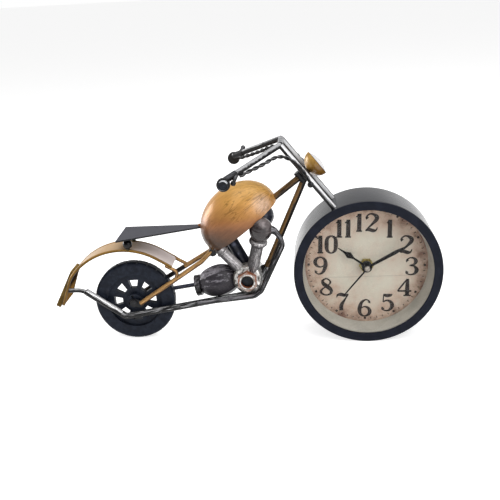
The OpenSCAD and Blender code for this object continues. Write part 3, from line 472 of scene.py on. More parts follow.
# The inner face turns dark brown, painted shade under the sheet, and lighter near the tail.
inside = put("MapRange", {"Value": deep_z, **span(0.35 * MM, 0.55 * MM)})
tail_part = put("MapRange", {"Value": run_x, **span(fender_len - 18 * MM, fender_len - 11 * MM)}, **eased)
under_tone = put("Mix", {"Factor": tail_part, "A": "#2c2118", "B": "#8f6a38"}, data_type="RGBA")
put(shader, {
    "Base Color": put("Mix", {"Factor": inside, "A": outside, "B": under_tone}, data_type="RGBA"),
    "Specular IOR Level": 0.0,
    "Roughness": put("MapRange", {"Value": streaks, **span(0, 1, 0.5, 0.7)}),
    "Normal": put("Bump", {"Height": streaks, "Strength": 0.2, "Distance": 0.1 * MM})})
piece(
    "fender_sheet", fender_mat, "gold_sheet", swept(fender_line, strip(fender_w, fender_t)), node="fender")
hem_d = 2.2
# Lighter on the faces turned up and dark below: painted shade on the rolled edges.
hem_mat = rubbed("hem_gold", "#5d4424", "#a9824a", (-0.2, -0.45, 0.85), 0.6, (14, 0.7), pull=0.5)
hem_y = (fender_w - hem_d) / 2 * MM * across
piece("fender_hems", hem_mat, "gold_sheet", *[
    swept(fender_line + sign * hem_y, ring(hem_d, 16)) for sign in (-1, 1)])
coat(rubbed(
    "tail_plate_gold", "#54401f", "#8a7143", (-0.2, -0.3, 0.9), 0.6, (9, 9), pull=0.15, metal=0.0, soft=0.3,
    gloss=0.0), "tail_plate")
arm_d, arm_bend, arm_lift = 3.5, 12, 1.4
arm_z = pipe_top[2] + arm_lift * MM
arm_root = pipe_top + 0.05 * (pipe_start - pipe_top)
tail_top = tail_c + tail_r * out(end_turn)
arm_end = (tail_top + (arm_z - tail_top[2]) / tail_dir[2] * tail_dir - fender_t * MM * out(end_turn)
           + rail_back * [0, 1, 0])
arm_mid = (arm_root + arm_end) / 2 + mm(2, 0, 0.9)
# Bright silver on its top and dark below: a painted highlight over bare steel.
arm_mat = rubbed(
    "arm_silver", "#111113", "#d0d0d2", (0.1, -0.35, 0.95), 0.35, (6, 0.8), pull=0.8, metal=0.5)
piece(
    "tail_arm", arm_mat, "dark_steel", swept(bent([arm_root, arm_mid, arm_end], arm_bend), ring(arm_d)),
    node="tail_stay")

# Fuel tank
# An egg pressed from sheet, open below where it sits over the backbone: brushed gold-orange lacquer with
# fine scratches along it, darker towards its lower edge and with a pale rosy patch at the nose.
spine = unit(neck_c - lug)
spine_up = np.array([-spine[2], 0, spine[0]])
tank_back, tank_up = 58.5, 4.8
tank_c = neck_c - tank_back * MM * spine + tank_up * MM * spine_up
tank_pitch = np.radians(2)
tank_x = np.cos(tank_pitch) * spine + np.sin(tank_pitch) * spine_up
tank_z = np.cos(tank_pitch) * spine_up - np.sin(tank_pitch) * spine
tank_long, tank_wide, tank_wall, tank_cut = 33.5, 26.3, 1.0, 7.3


def egg_cap(shrink, turn, share):
    """Points of an egg cut by the tank's lower plane: share of the way from the top pole to the cut, at a
    turn about the upright axis; shrink takes the wall off the half axes."""
    a, b = tank_long - shrink, tank_wide - shrink
    lean_x, lean_z = a * np.cos(turn) * np.sin(tank_pitch), b * np.cos(tank_pitch)
    polar = share * (np.arctan2(lean_x, lean_z) + np.arccos(-tank_cut / np.hypot(lean_x, lean_z)))
    local = np.stack(
        [a * np.sin(polar) * np.cos(turn), b * np.sin(polar) * np.sin(turn), b * np.cos(polar)], axis=-1)
    return tank_c + local * MM @ np.stack([tank_x, across, tank_z]), local * MM


turns, shares = np.meshgrid(np.linspace(0, 2 * np.pi, 96, endpoint=False), np.linspace(1e-5, 1, 44))
outer, outer_flow = egg_cap(0, turns, shares)
inner, inner_flow = egg_cap(tank_wall, turns[::-1], shares[::-1])
tank_mat, put, shader, where = blank("brushed_gold_lacquer", flow=True)
brushing = put("Mapping", {"Vector": where, "Scale": (1 / (26 * MM), 1 / (2.2 * MM), 1 / (2.2 * MM))})
hairs = put("TexNoise", {"Vector": brushing, "Scale": 1.0, "Detail": 4.0, "Roughness": 0.6})
clouds = put("TexNoise", {"Vector": where, "Scale": 1 / (18 * MM), "Detail": 3.0})
long_x, side_y, tall_z = put("SeparateXYZ", {"Vector": where}).outputs
high = put("SeparateXYZ", {"Vector": put("TexCoord").outputs["Object"]}).outputs["Z"]
sway = put("Math MULTIPLY_ADD", {0: clouds, 1: 12 * MM, 2: high})
fade = put("MapRange", {"Value": sway, **span(90 * MM, 132 * MM)})
# Darker towards the lower edge.
tone = put("ValToRGB", {"Fac": fade}, stops=[
    (0.0, "#4e3626"), (0.1, "#5f4330"), (0.23, "#7a5136"), (0.39, "#a26c40"), (0.52, "#b98349"),
    (0.66, "#c68f4f"), (0.82, "#d09a51"), (1.0, "#d6a55c")])
nose = put("MapRange", {"Value": long_x, **span(14 * MM, 30 * MM)})
# A pale rosy patch near the nose, streaked along the brushing.
bare_c = (25.3, -17, -1)
bare_gap = put("VectorMath DISTANCE", {0: where, 1: [v * MM for v in bare_c]})
bare_near = put("MapRange", {"Value": bare_gap, **span(2 * MM, 12 * MM, 0.62, 0.0)}, **eased)
bare_hair = put("MapRange", {"Value": hairs, **span(0.25, 0.5, 0.5, 1.0)})
rose = put("Math MULTIPLY", {0: bare_near, 1: bare_hair})
rosy = put("Mix", {"Factor": rose, "A": tone, "B": "#e6c8b4"}, data_type="RGBA")
hair_tone = put("MapRange", {"Value": hairs, **span(0.3, 0.65, 0.84, 1.08)})
worn = put("Math MULTIPLY_ADD", {0: nose, 1: 0.22, 2: clouds})
patch = put("MapRange", {"Value": worn, **span(0.45, 0.7, 0.0, 0.026)})
girth = put("Math ARCTAN2", {0: side_y, 1: tall_z})
lines = put("CombineXYZ", {"X": long_x, "Y": girth})
crazing = put("Mapping", {"Vector": lines, "Scale": (1 / (17 * MM), 1 / 0.13, 1)})
cracks = put("TexNoise", {"Vector": crazing, "Scale": 1.0, "Detail": 1.5, "Distortion": 0.2})
middle = put("Math SUBTRACT", {0: cracks, 1: 0.5})
ridge = put("Math ABSOLUTE", {0: middle})
line = put("Math LESS_THAN", {0: ridge, 1: patch})
scratch = put("MapRange", {"Value": line, **span(0, 1, 1.0, 0.66)})
grade = put("Math MULTIPLY", {0: hair_tone, 1: scratch})
put(shader, {
    "Base Color": put("VectorMath MULTIPLY", {0: rosy, 1: grade}),
    "Metallic": 0.1,
    "Specular IOR Level": 0.3,
    "Roughness": put("MapRange", {"Value": hairs, **span(0, 1, 0.2, 0.3)}),
    "Normal": put("Bump", {"Height": hairs, "Strength": 0.08, "Distance": 0.1 * MM})})
piece(
    "tank_shell", tank_mat, "gold_paint",
    (np.concatenate([outer, inner]), np.concatenate([outer_flow, inner_flow])), node="fuel_tank")

# Seat
# A thin tapering plate on two balls over the fender's front: matte grey-black lacquer, painted lighter grey
# on its top as a highlight and darker on its edges as shade; the balls are black steel, and lumpy weld
# beads hold the plate's tip and the balls.
# Grey on the faces turned up, black on the edges: painted highlight and painted shade.
seat_mat = rubbed(
    "seat_lacquer", "#16161a", "#4b4b52", (0, 0, 1), 0.7, (6, 6), pull=0.7, metal=0.0, rough=(0.5, 0.6),
    dents=0.1, mottle=0.06)
coat(seat_mat, "seat_plate")
coat(rubbed(
    "ball_lacquer", "#08080b", "#1c1c20", (0.4, -0.5, 0.7), 0.3, (3, 3), rough=(0.2, 0.35),
    dents=0.1), "seat_balls")


def bead(place, axis, wide, fat, lumps=0.12):
    """A weld bead: a ring of round section about an axis that swells and shrinks seven times round."""
    axis = unit(axis)
    u = unit(np.cross(axis, [0.31, 0.9, 0.3]))
    w = np.cross(axis, u)
    turn = np.linspace(0, 2 * np.pi, 41)[:, None, None]
    roll_a = np.linspace(0, 2 * np.pi, 12, endpoint=False)[None, :, None]
    small = fat / 2 * (1 + lumps * np.sin(7 * turn + 0.6))
    radial = np.cos(turn) * u + np.sin(turn) * w
    points = place + MM * ((wide / 2 + small * np.cos(roll_a)) * radial + small * np.sin(roll_a) * axis)
    return points, points - place


weld = dict(side=(-0.3, -0.4, 0.8), cover=0.5, streak=(1.2, 1.2), pull=0.1, metal=0.5)
tip_spot = at(128, 0, 92.2) + mm(-1.2, -1.2, 1.6)
piece(
    "tip_weld", rubbed("copper_weld", "#5a3018", "#b87a4a", **weld), "bronze_tube",
    bead(tip_spot, (0.2, 0, 1), 2.0, 2.2))
ball_foot = np.array([wheel_c[0] + 0.3 * MM, 0, arch_c[2] + arch_r])
piece("ball_welds", rubbed("brass_weld", "#3d3314", "#86753a", **weld), "gold_sheet", *[
    bead(ball_foot + mm(0, ball_y, -0.1), (0, 0, 1), 3.0, 0.9) for ball_y in (-11.4, 11.4)])

# Fork and handlebars
# Two long legs bent over into the bars, a cross bar, and a sleeve, a grip and a lever on each side: steel
# rod, black below with bright silver brushed over its top, the silver also a painted highlight that runs as
# a bright stripe down the near leg, and a lighter copy on the far leg and bar; each grip is a black disc
# round a tube end, with a painted highlight on the tube's rim and a dark disc set in its bore as painted
# shade.
fork_d = 4.4
fork_half = 14 * MM
sleeve_from, sleeve_to, bar_start = 1.5, 12, 1.2
grip_back, grip_y, grip_z, bar_rise = 104.2, 45, 136.6, 2
long_brush = dict(streak=(40, 0.7), pull=1.0, soft=0.14, metal=0.3, mottle=0.1)
# Silver on the faces turned to side, black on the rest: brushing and a painted highlight together; the far
# leg and bar take a lighter copy.
near_leg = rubbed("leg_black_silver", "#0a0a0c", "#f2f2f4", (0.56, -0.7, 0.44), 0.3, **long_brush)
far_leg = rubbed("leg_silver", "#0c0c0e", "#c8c8ca", (0.3, -0.9, 0.3), 0.6, **long_brush)
near_bar = rubbed("bar_grey", "#0c0c0e", "#a6a6a8", (0, -0.5, 0.85), 0.72, (2.2, 0.8), pull=0.8, metal=0.3)
far_bar = rubbed("bar_silver", "#0c0c0e", "#cacacc", (0, -0.4, 0.9), 0.75, (14, 0.9), pull=0.9, metal=0.3)
sleeve_mat = rubbed("sleeve_black", "#09090b", "#45464a", (0, -0.4, 0.9), 0.35, (6, 0.9), pull=0.6)
for side, sign, leg_mat, bar_mat in (("right", -1, near_leg, near_bar), ("left", 1, far_leg, far_bar)):
    bend = bend_c + sign * fork_half * across
    leg_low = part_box("fork_leg_" + side)[0][2]
    leg_end = bend + (bend[2] - leg_low) / np.sin(rake) * fork_dir
    piece("leg_" + side, leg_mat, "brushed_steel", rod(bend, leg_end, fork_d, 1.5), node="fork_leg_" + side)
    bar_end = at(grip_back, sign * grip_y, grip_z + bar_rise)
    along_bar = MM * unit(bend - bar_end)
    piece(
        "bar_" + side, bar_mat, "brushed_steel",
        rod(bend + bar_start * along_bar, bar_end, fork_d, 1.5, (bar_start, 0.2)), node="handlebar_" + side)
    piece(
        "sleeve_" + side, sleeve_mat, "black_steel",
        rod(bar_end + sleeve_from * along_bar, bar_end + sleeve_to * along_bar, fork_d + 0.8, 1.5))
coat(rubbed(
    "cross_silver", "#4c4c50", "#aeaeb0", (0.1, -0.4, 0.9), 0.6, (2, 2), pull=0.2,
    metal=0.3), "fork_crossbar")
coat(rubbed(
    "lever_grey", "#0e0e10", "#6c6c70", (0.1, -0.4, 0.9), 0.4, (2, 2),
    pull=0.5), "lever_right", "lever_left")


def turned(profile, place, axis, sides=64, wave=None):
    """A profile of radius and height in mm, spun about an axis; wave scales the radius at each point."""
    axis = unit(axis)
    u = unit(np.cross(axis, [0, 1, 0.001] if abs(axis[1]) < 0.9 else [0, 0, 1]))
    w = np.cross(axis, u)
    a = np.linspace(0, 2 * np.pi, sides, endpoint=False)
    profile = np.array(profile, float)
    r = profile[:, :1] * np.ones((1, sides))
    h = profile[:, 1:] * np.ones((1, sides))
    if wave:
        r = r * wave(a[None], h)
    local = np.stack([h, r * np.cos(a), r * np.sin(a)], axis=2) * MM
    return place + local @ np.stack([axis, u, w]), local


disc_profile = [(0, 0), (4.7, 0), (5.0, 0.3), (5.0, 2.7), (4.7, 3.0), (0, 3.0)]
tube_profile = [(3.2, 5.2), (3.2, 6.3), (3.45, 6.5), (3.8, 6.2), (3.8, 2.8), (3.2, 2.8), (3.2, 5.2)]
plug_profile = [(0, 5.6), (3.3, 5.6), (3.3, 4.8), (0, 4.8)]
grip_spots = [(at(grip_back, sign * grip_y, grip_z), (0, sign, 0)) for sign in (-1, 1)]
grip_mat = rubbed("grip_black", "#08080a", "#26282d", (-0.4, -0.5, 0.7), 0.4, (3, 3), metal=0.0, gloss=0.3)
for side, spot in zip(("right", "left"), grip_spots):
    piece(
        "grip_disc_" + side, grip_mat, "black_steel", turned(disc_profile, *spot, 48), node="grip_" + side)
# The tube end is light on its faces turned up and black below: a painted highlight on its rim.
end_mat = rubbed("end_steel", "#15181d", "#dde0e4", (0.3, -0.25, 0.9), 0.62, (3, 3), pull=0.7)
piece("bar_ends", end_mat, "brushed_steel", *[turned(tube_profile, *spot, 40) for spot in grip_spots])
# A dark disc set a little into each tube end: painted shade where the bore looks dark.
navy = rubbed("plug_navy", "#0c1017", "#1e2630", (0, -0.6, 0.8), 0.5, (3, 3), metal=0.0, gloss=0.2)
piece("end_plugs", navy, "black_steel", *[turned(plug_profile, *spot, 40) for spot in grip_spots])
tip_r = 2.0
tip_a = np.linspace(0, np.pi, 14)
tip_profile = np.c_[tip_r * np.sin(tip_a), -tip_r * np.cos(tip_a)]
piece("lever_knob", black, "black_steel", turned(tip_profile, at(97.05, -46.25, 137.3), (0, 0, 1), 24))

# Brake cables
# Two wires twisted together from each bar down to a clip on the fork leg: blackened steel that glints
# along the top of every turn. The points of each route were chosen from the photograph.
routes = {
    "right": [
        (93, -36.6, 140), (85, -33, 143.2), (80, -30.5, 144.8), (75, -28, 146.8), (71, -25.6, 148.6),
        (67, -22.8, 150), (62.5, -20.2, 150), (58, -18.2, 148), (52, -17.4, 143.6), (48, -17.4, 138.9),
        (45, -17.4, 134), (42.6, -17.4, 129.4)],
    "left": [
        (98, 38.5, 138.2), (90, 33, 141.2), (81, 26.5, 145.2), (74.5, 21.5, 148.6), (69, 18, 150.8),
        (63, 16.8, 150.4), (58, 17.4, 147.6), (52, 17.4, 143.4), (48, 17.4, 138.9), (45, 17.4, 134),
        (42.6, 17.4, 129.4)]}
wire_d, wire_bend, lay, twist_r = 1.7, 12, 11 * MM, 0.72 * MM


def strand(line, start):
    """A wire wound round a line at a small radius, one turn for each length of lay."""
    tangent = np.gradient(line, axis=0)
    u = unit(np.cross(tangent, across))
    w = unit(np.cross(u, tangent))
    turn = (start + 2 * np.pi * along(line) / lay)[:, None]
    return swept(line + twist_r * (np.cos(turn) * w + np.sin(turn) * u), ring(wire_d, 10), (0.1, 0.1))


# The lighter colour along the top of each turn is a painted glint.
wire_mat = rubbed(
    "twisted_wire", "#060607", "#8c8c8e", (0.2, -0.5, 0.85), 0.2, (3, 0.8), pull=0.9, rough=(0.3, 0.35))
for side, points in routes.items():
    line = bent([at(*p) for p in points], wire_bend, 0.5)
    piece(
        "wires_" + side, wire_mat, "cable_wire", strand(line, 0.0), strand(line, np.pi),
        node="cable_" + side)

# Headlight
# A small bowl welded to the yoke, gold lacquer painted lighter on the faces turned up, left and to the
# front and darker on the rest, painted light and shade, with a domed lens of white plastic in a black rim,
# the lens painted whiter on the faces turned up and to the right, a painted highlight.
lamp_d, lamp_depth, lamp_wall, lamp_seat, lens_dome = 21.2, 9.5, 1.0, 1.3, 3.0
lamp_turn = np.radians(7)
lamp_axis = np.cos(lamp_turn) * fork_front + np.sin(lamp_turn) * across
lamp_c = yoke_c + lamp_seat * MM * lamp_axis
# Lighter on the faces turned up, left and to the front: painted light and shade.
lamp_mat = rubbed(
    "lamp_gold", "#7d5822", "#c79d52", (-0.6, -0.45, 0.5), 0.6, (7, 7), pull=0.4, metal=0.2,
    rough=(0.22, 0.28), soft=0.3, mottle=0.06, dents=0.08, gloss=0.5)
lens_r = lamp_d / 2 - lamp_wall
bowl_a = np.linspace(0, np.pi / 2, 24)
bowl_out = np.c_[lamp_d / 2 * np.sin(bowl_a), lamp_depth * (1 - np.cos(bowl_a))]
bowl_in = np.c_[lens_r * np.sin(bowl_a), lamp_depth - (lamp_depth - lamp_wall) * np.cos(bowl_a)]
piece(
    "lamp_bowl", lamp_mat, "gold_paint",
    turned(np.concatenate([bowl_out, bowl_in[::-1]]), lamp_c, lamp_axis), node="headlight_bowl")
dome_r = (lens_r ** 2 + lens_dome ** 2) / (2 * lens_dome)
lens_a = np.linspace(0, np.arcsin(lens_r / dome_r), 20)
lens_face = np.c_[dome_r * np.sin(lens_a), lamp_depth + lens_dome - dome_r * (1 - np.cos(lens_a))]
lens_back = lamp_depth - 1.2
# Whiter on the faces turned up and to the right, greyer on the rest: painted shading.
lens_mat = rubbed(
    "lens_white", "#cfcdce", "#f0eeec", (0.6, -0.5, 0.6), 0.5, (6, 6), pull=0.4, metal=0.0,
    rough=(0.12, 0.18), soft=0.3, dents=0.02, mottle=0.03, gloss=0.5)
piece(
    "lamp_lens", lens_mat, "lens_white",
    turned(np.concatenate([lens_face, [(lens_r - 0.4, lens_back), (0, lens_back)]]), lamp_c, lamp_axis),
    node="headlight_lens")
piece(
    "lamp_rim", black, "black_steel",
    bead(lamp_c + (lamp_depth - 0.15) * MM * lamp_axis, lamp_axis, lamp_d - 0.9, 0.9, 0.0))

# Engine
# A crankcase with a nut on each side, two pairs of barrels with ball heads, an intake tube, a ribbed egg
# of a gearbox, its shaft and the exhaust, welded: black lacquer dry-brushed with silver, copper nuts. The
# silver, and the pale on the nuts, gather on the faces turned up and to the right, partly as a painted
# highlight; a silver ring at each nut's mouth is the chamfer's painted highlight, and the far barrels and
# far head are a darker copy, painted shade.
crank_c = at(93.5, 0, 51.1)
crank_profile = [
    (0, -13), (9.6, -13), (10.6, -12.7), (11.6, -11.6), (12, -10.6), (12, -6.5), (11.5, -6), (11.5, -4.6),
    (12, -4.1), (12, 10.6), (11.6, 11.6), (10.6, 12.7), (9.6, 13), (0, 13)]
# Silver on the faces turned up and to the right: dry-brushing and a painted highlight together.
crank_mat = rubbed(
    "crank_silver", "#4a4642", "#ebe9e6", (0.45, -0.5, 0.7), 0.8, (3.4, 3.4), pull=0.35, metal=0.7,
    rough=(0.42, 0.24), soft=0.14, dents=0.6, mottle=0.3)
piece(
    "crank_barrel", crank_mat, "dark_steel",
    turned(
        crank_profile, crank_c, (0, 1, 0), 96,
        lambda a, h: 1 - 0.012 * (1 + np.sin(9 * a + 0.7 * h)) * (np.abs(h) < 12)),
    node="crankcase")
# Copper, painted pale on the faces turned to the front and right as a highlight.
coat(rubbed(
    "copper_wash", "#96583a", "#a89c95", (0.4, -1, 0.35), 0.42, (4, 4), pull=0.6, metal=0.3,
    mottle=0.08), "crank_nuts")
nut_face, nut_floor, mouth_d, mouth_fat = 17.9, 13.1, 11.4, 1.5
# A silver ring at each nut's mouth stands for the chamfer's highlight: a painted highlight.
mouth_mat = rubbed("mouth_silver", "#8d8178", "#e4e2e0", (0.3, -0.6, 0.6), 0.6, (3, 3), metal=0.4)
piece("nut_mouths", mouth_mat, "brushed_steel", *[
    bead(crank_c + sign * nut_face * MM * across, (0, 1, 0), mouth_d, mouth_fat, 0.0) for sign in (-1, 1)])
# A dark disc at the floor of each nut's bore: painted shade.
nut_plug = [(0, 0.9), (5.1, 0.9), (5.1, 0), (0, 0)]
piece("nut_plugs", navy, "black_steel", *[
    turned(nut_plug, crank_c + sign * nut_floor * MM * across, (0, sign, 0), 40) for sign in (-1, 1)])
head_c = at(80.6, 18.99, 94.98)
front_base, rear_base, rear_top = at(89.8, 8.5, 57), at(98.6, 7.4, 57.5), at(115.2, 11.3, 78.6)
front_d, rear_d, skirt_r, skirt_long = 9.4, 8.6, 9.0, 11.6
front_stop, collar_drop, ring_drop, ring_d, ring_fat = 7, 15.4, 5.3, 8.4, 1.9
to_right = np.array([1, -1, 1])
front_run = unit(head_c - front_base)
rear_run = rear_top - rear_base
rear_share = (-tank_cut * MM - (rear_base - tank_c) @ spine_up) / (rear_run @ spine_up)
rear_stop = rear_base + min(rear_share, 1.0) * rear_run
ring_mid = rear_top - ring_drop * MM * unit(rear_run)
collar = [
    (0, -0.6), (4.9, -0.6), (5.6, 0.2), (6.0, 1.2), (6.7, 1.8), (7.1, 2.4), (7.2, 3.6), (6.7, 4.6),
    (6.2, 5.0), (0, 5.0)]
skirt_a = np.linspace(0, np.pi / 2, 16)
skirt = np.concatenate([
    [(0, 1.6), (8.45, 1.6), (8.8, 0.9)],
    np.c_[skirt_r * np.cos(skirt_a), -skirt_long * np.sin(skirt_a)]])
# The near barrels and head are lighter on the faces turned up and to the right, painted light and shade;
# the far ones are a darker copy, painted shade.
near_metal = rubbed(
    "barrel_silver", "#454244", "#dedadb", (0.45, -0.6, 0.6), 0.62, (5, 0.7), pull=0.5, metal=0.55,
    soft=0.3, rough=(0.36, 0.3), dents=0.6, mottle=0.42)
far_metal = rubbed("barrel_navy", "#1a1c27", "#494d5f", (-0.15, -0.6, 0.7), 0.45, (9, 0.9), pull=0.3)
near_head = rubbed(
    "head_gloss", "#2b2425", "#9a8f8f", (0.75, -0.3, 0.6), 0.4, (9, 9), pull=0.55, metal=0.6,
    rough=(0.26, 0.22), soft=0.3, dents=0.05, mottle=0.08, gloss=0.5)
far_head = rubbed(
    "head_slate", "#191b25", "#474a58", (0.6, -0.5, 0.6), 0.5, (9, 9), pull=0.5, rough=(0.2, 0.28),
    soft=0.3, dents=0.05, mottle=0.05, gloss=0.4)
banks = [("right", to_right, near_metal, near_head), ("left", np.ones(3), far_metal, far_head)]
for side, flip, jug_mat, _ in banks:
    piece(
        "front_jug_" + side, jug_mat, "dark_steel",
        rod(front_base * flip, (head_c - front_stop * MM * front_run) * flip, front_d, 1.5),
        turned(collar, (head_c - collar_drop * MM * front_run) * flip, front_run * flip, 48),
        node="front_barrel_" + side)
    piece(
        "rear_jug_" + side, jug_mat, "dark_steel", rod(rear_base * flip, rear_stop * flip, rear_d, 1.5),
        bead(ring_mid * flip, rear_run * flip, ring_d, ring_fat, 0.04), node="rear_barrel_" + side)
for side, flip, _, head_mat in banks:
    coat(head_mat, "front_head_" + side)
    piece("head_skirt_" + side, head_mat, "dark_steel", turned(skirt, head_c * flip, front_run * flip, 56))
gear_c = at(117.5, 0, 46.9)
gear_r, gear_half, gear_slope = 13.5, 17.5, np.radians(9.8)
gear_a = np.linspace(0, np.pi, 60)
gear_profile = np.c_[gear_r * np.sin(gear_a), -gear_half * np.cos(gear_a)]
# Lighter streaks on the faces turned up and to the left: rubbing and a painted highlight together.
gear_mat = rubbed(
    "gear_dark", "#353237", "#a8a4ac", (-0.35, -0.3, 0.9), 0.37, (9, 2.4), pull=0.45, metal=0.4, soft=0.14,
    dents=0.6, mottle=0.36)
piece(
    "gear_egg", gear_mat, "dark_steel",
    turned(
        gear_profile, gear_c, (np.cos(gear_slope), 0, np.sin(gear_slope)), 144,
        lambda a, h: 1 - 0.07 * np.abs(np.sin(4 * a + 0.5 * np.sin(h / 6))) ** 0.7),
    node="gearbox", sharp=60)
coat(rubbed(
    "flange_rough", "#121213", "#77747a", (-0.3, -0.6, 0.7), 0.3, (1.6, 1.6), metal=0.4,
    dents=0.7), "gearbox_flange")
coat(rubbed(
    "navy_lacquer", "#1f212c", "#565a6b", (-0.2, -0.6, 0.7), 0.4, (4, 4),
    pull=0.4), "intake_tube", "drive_shaft")
exhaust_bend = 6
exhaust_line = bent([
    head_c * to_right, at(70.4, -18.99, 93), at(66.2, -18, 86.5), at(64.6, -17.4, 80.6),
    at(83, -14.7, 42.4), at(88.6, -14.3, 38), at(134.4, -14.3, 33.3)], exhaust_bend)
# Grey on the faces turned to the front and up: a painted highlight on black lacquer.
exhaust_mat = rubbed("exhaust_lacquer", "#0f0f11", "#8d8b90", (0.2, -0.75, 0.6), 0.32, (12, 0.8), pull=0.5)
exhaust_len = along(exhaust_line)[-1] / MM
exhaust_run = np.linspace(0, 1, len(exhaust_line)) * exhaust_len
thin_d, swell, swell_end, swell_long = 4, 2.6, 15.5, 7
exhaust_d = thin_d + swell * np.clip((swell_end - exhaust_run) / swell_long, 0, 1) ** 1.5
piece(
    "exhaust_bar", exhaust_mat, "dark_steel", swept(exhaust_line, ring(1) * exhaust_d[:, None, None]),
    node="exhaust_pipe")

# Rear wheel
# A tyre and a disc with eight windows that turn together on the axle: painted steel, a matte slate black
# without streaks, so its form shows by its outline more than by its shading.
coat(rubbed(
    "slate_lacquer", "#181c26", "#242934", (0, -0.2, 0.3), 0.5, (5, 5), pull=0.0, metal=0.0, dents=0.12,
    mottle=0.06, gloss=0.12), "tyre", "wheel_disc")

# Clock case
# The drum that stands for the front wheel, its rim, back plate, spacer ring and flat glass: black lacquer,
# glossy on the side and satin on the faces, off-white moulded plastic, clear glass.
even = dict(side=(0, -0.2, 0.6), cover=0.5, streak=(8, 8), pull=0.0, metal=0.0, dents=0.02, mottle=0.04)
drum_mat = rubbed("drum_gloss_lacquer", "#14161e", "#1b1d26", rough=(0.2, 0.24), gloss=0.7, **even)
rim_mat = rubbed("rim_satin_lacquer", "#181b25", "#1e212c", rough=(0.3, 0.34), gloss=0.08, **even)
drum_r, drum_r_in, rim_r_in, drum_half, drum_wall, drum_round = 57, 55.8, 50, 21.75, 1.2, 1.0
round_a = np.linspace(0, np.pi / 2, 9)
drum_front = np.c_[
    drum_r - drum_round * (1 - np.cos(round_a)), -drum_half + drum_round * (1 - np.sin(round_a))]
inner_corner = (drum_r_in, -drum_half + drum_wall)
drum_profile = [inner_corner, (drum_r_in, drum_half), (drum_r, drum_half), *drum_front[:5], inner_corner]
rim_profile = [
    inner_corner, *drum_front[4:], (rim_r_in, -drum_half), (rim_r_in, -drum_half + drum_wall), inner_corner]
drum_c = clock_c * [1, 0, 1]
piece("drum_shell", drum_mat, "drum_black", turned(drum_profile, drum_c, (0, 1, 0), 160), node="clock_drum")
piece("drum_rim", rim_mat, "drum_black", turned(rim_profile, drum_c, (0, 1, 0), 160))
coat(rim_mat, "back_plate")
coat(rubbed(
    "ring_plastic", "#aeaba1", "#bab7ad", (0, -0.5, 0.8), 0.5, (12, 12), pull=0.0, metal=0.0,
    rough=(0.5, 0.55), dents=0.03, mottle=0.03), "spacer_ring")
glass_mat, put, shader, where = blank("clear_glass")
film = put("TexNoise", {"Vector": where, "Scale": 1 / (18 * MM), "Detail": 4.0})
haze = put("MapRange", {"Value": film, **span(0, 1, 0.004, 0.016)})
put(shader, {"Alpha": haze, "Base Color": "#f4f7f7", "Roughness": 0.03})
coat(glass_mat, "glass")

# Dial
# A printed disc on the movement: parchment darkening in blotches to its rim, foxed and once folded, which
# looks warm and dull.
dial_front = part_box("dial_plate")[0][1]
fold_z = -9.8 * MM
dial_mat, put, shader, where = blank("parchment_print")
centred = put("Mapping", {"Vector": where, "Location": (-clock_c[0], 0, -clock_c[2])})
flat = put("VectorMath MULTIPLY", {0: centred, 1: (1, 0, 1)})
radius = put("VectorMath LENGTH", {0: flat})
blotch = put("TexNoise", {"Vector": flat, "Scale": 1 / (13 * MM), "Detail": 5.0, "Roughness": 0.6})
grain = put("TexNoise", {"Vector": flat, "Scale": 1 / (1.6 * MM), "Detail": 3.0})
edge = put("MapRange", {"Value": radius, **span(22 * MM, 48 * MM, -0.12, 0.3)})
age = put("Math ADD", {0: blotch, 1: edge})
ramp = put("ValToRGB", {"Fac": age}, stops=[
    (0.32, "#d2cbba"), (0.52, "#cfc1b0"), (0.7, "#c3a995"), (0.92, "#7d5b4b")])
speck = put("MapRange", {"Value": grain, **span(0.3, 0.7, 0.93, 1.05)})
spots = put("TexNoise", {"Vector": flat, "Scale": 1 / (2.6 * MM), "Detail": 6.0, "Roughness": 0.75})
foxing = put("Math MULTIPLY_ADD", {0: edge, 1: 0.5, 2: spots})
foxed = put("MapRange", {"Value": foxing, **span(0.64, 0.76, 1.0, 0.62)}, **eased)
upright = put("SeparateXYZ", {"Vector": flat}).outputs["Z"]
above = put("Math ADD", {0: upright, 1: -fold_z})
fold_gap = put("Math ABSOLUTE", {0: above})
fold = put("MapRange", {"Value": fold_gap, **span(0.1 * MM, 0.45 * MM, 0.8, 1.0)})
dark = put("Math MULTIPLY", {0: foxed, 1: fold})
tint = put("Math MULTIPLY", {0: dark, 1: speck})
put(shader, {"Base Color": put("VectorMath MULTIPLY", {0: ramp, 1: tint}), "Roughness": 0.65})
coat(dial_mat, "dial_plate")

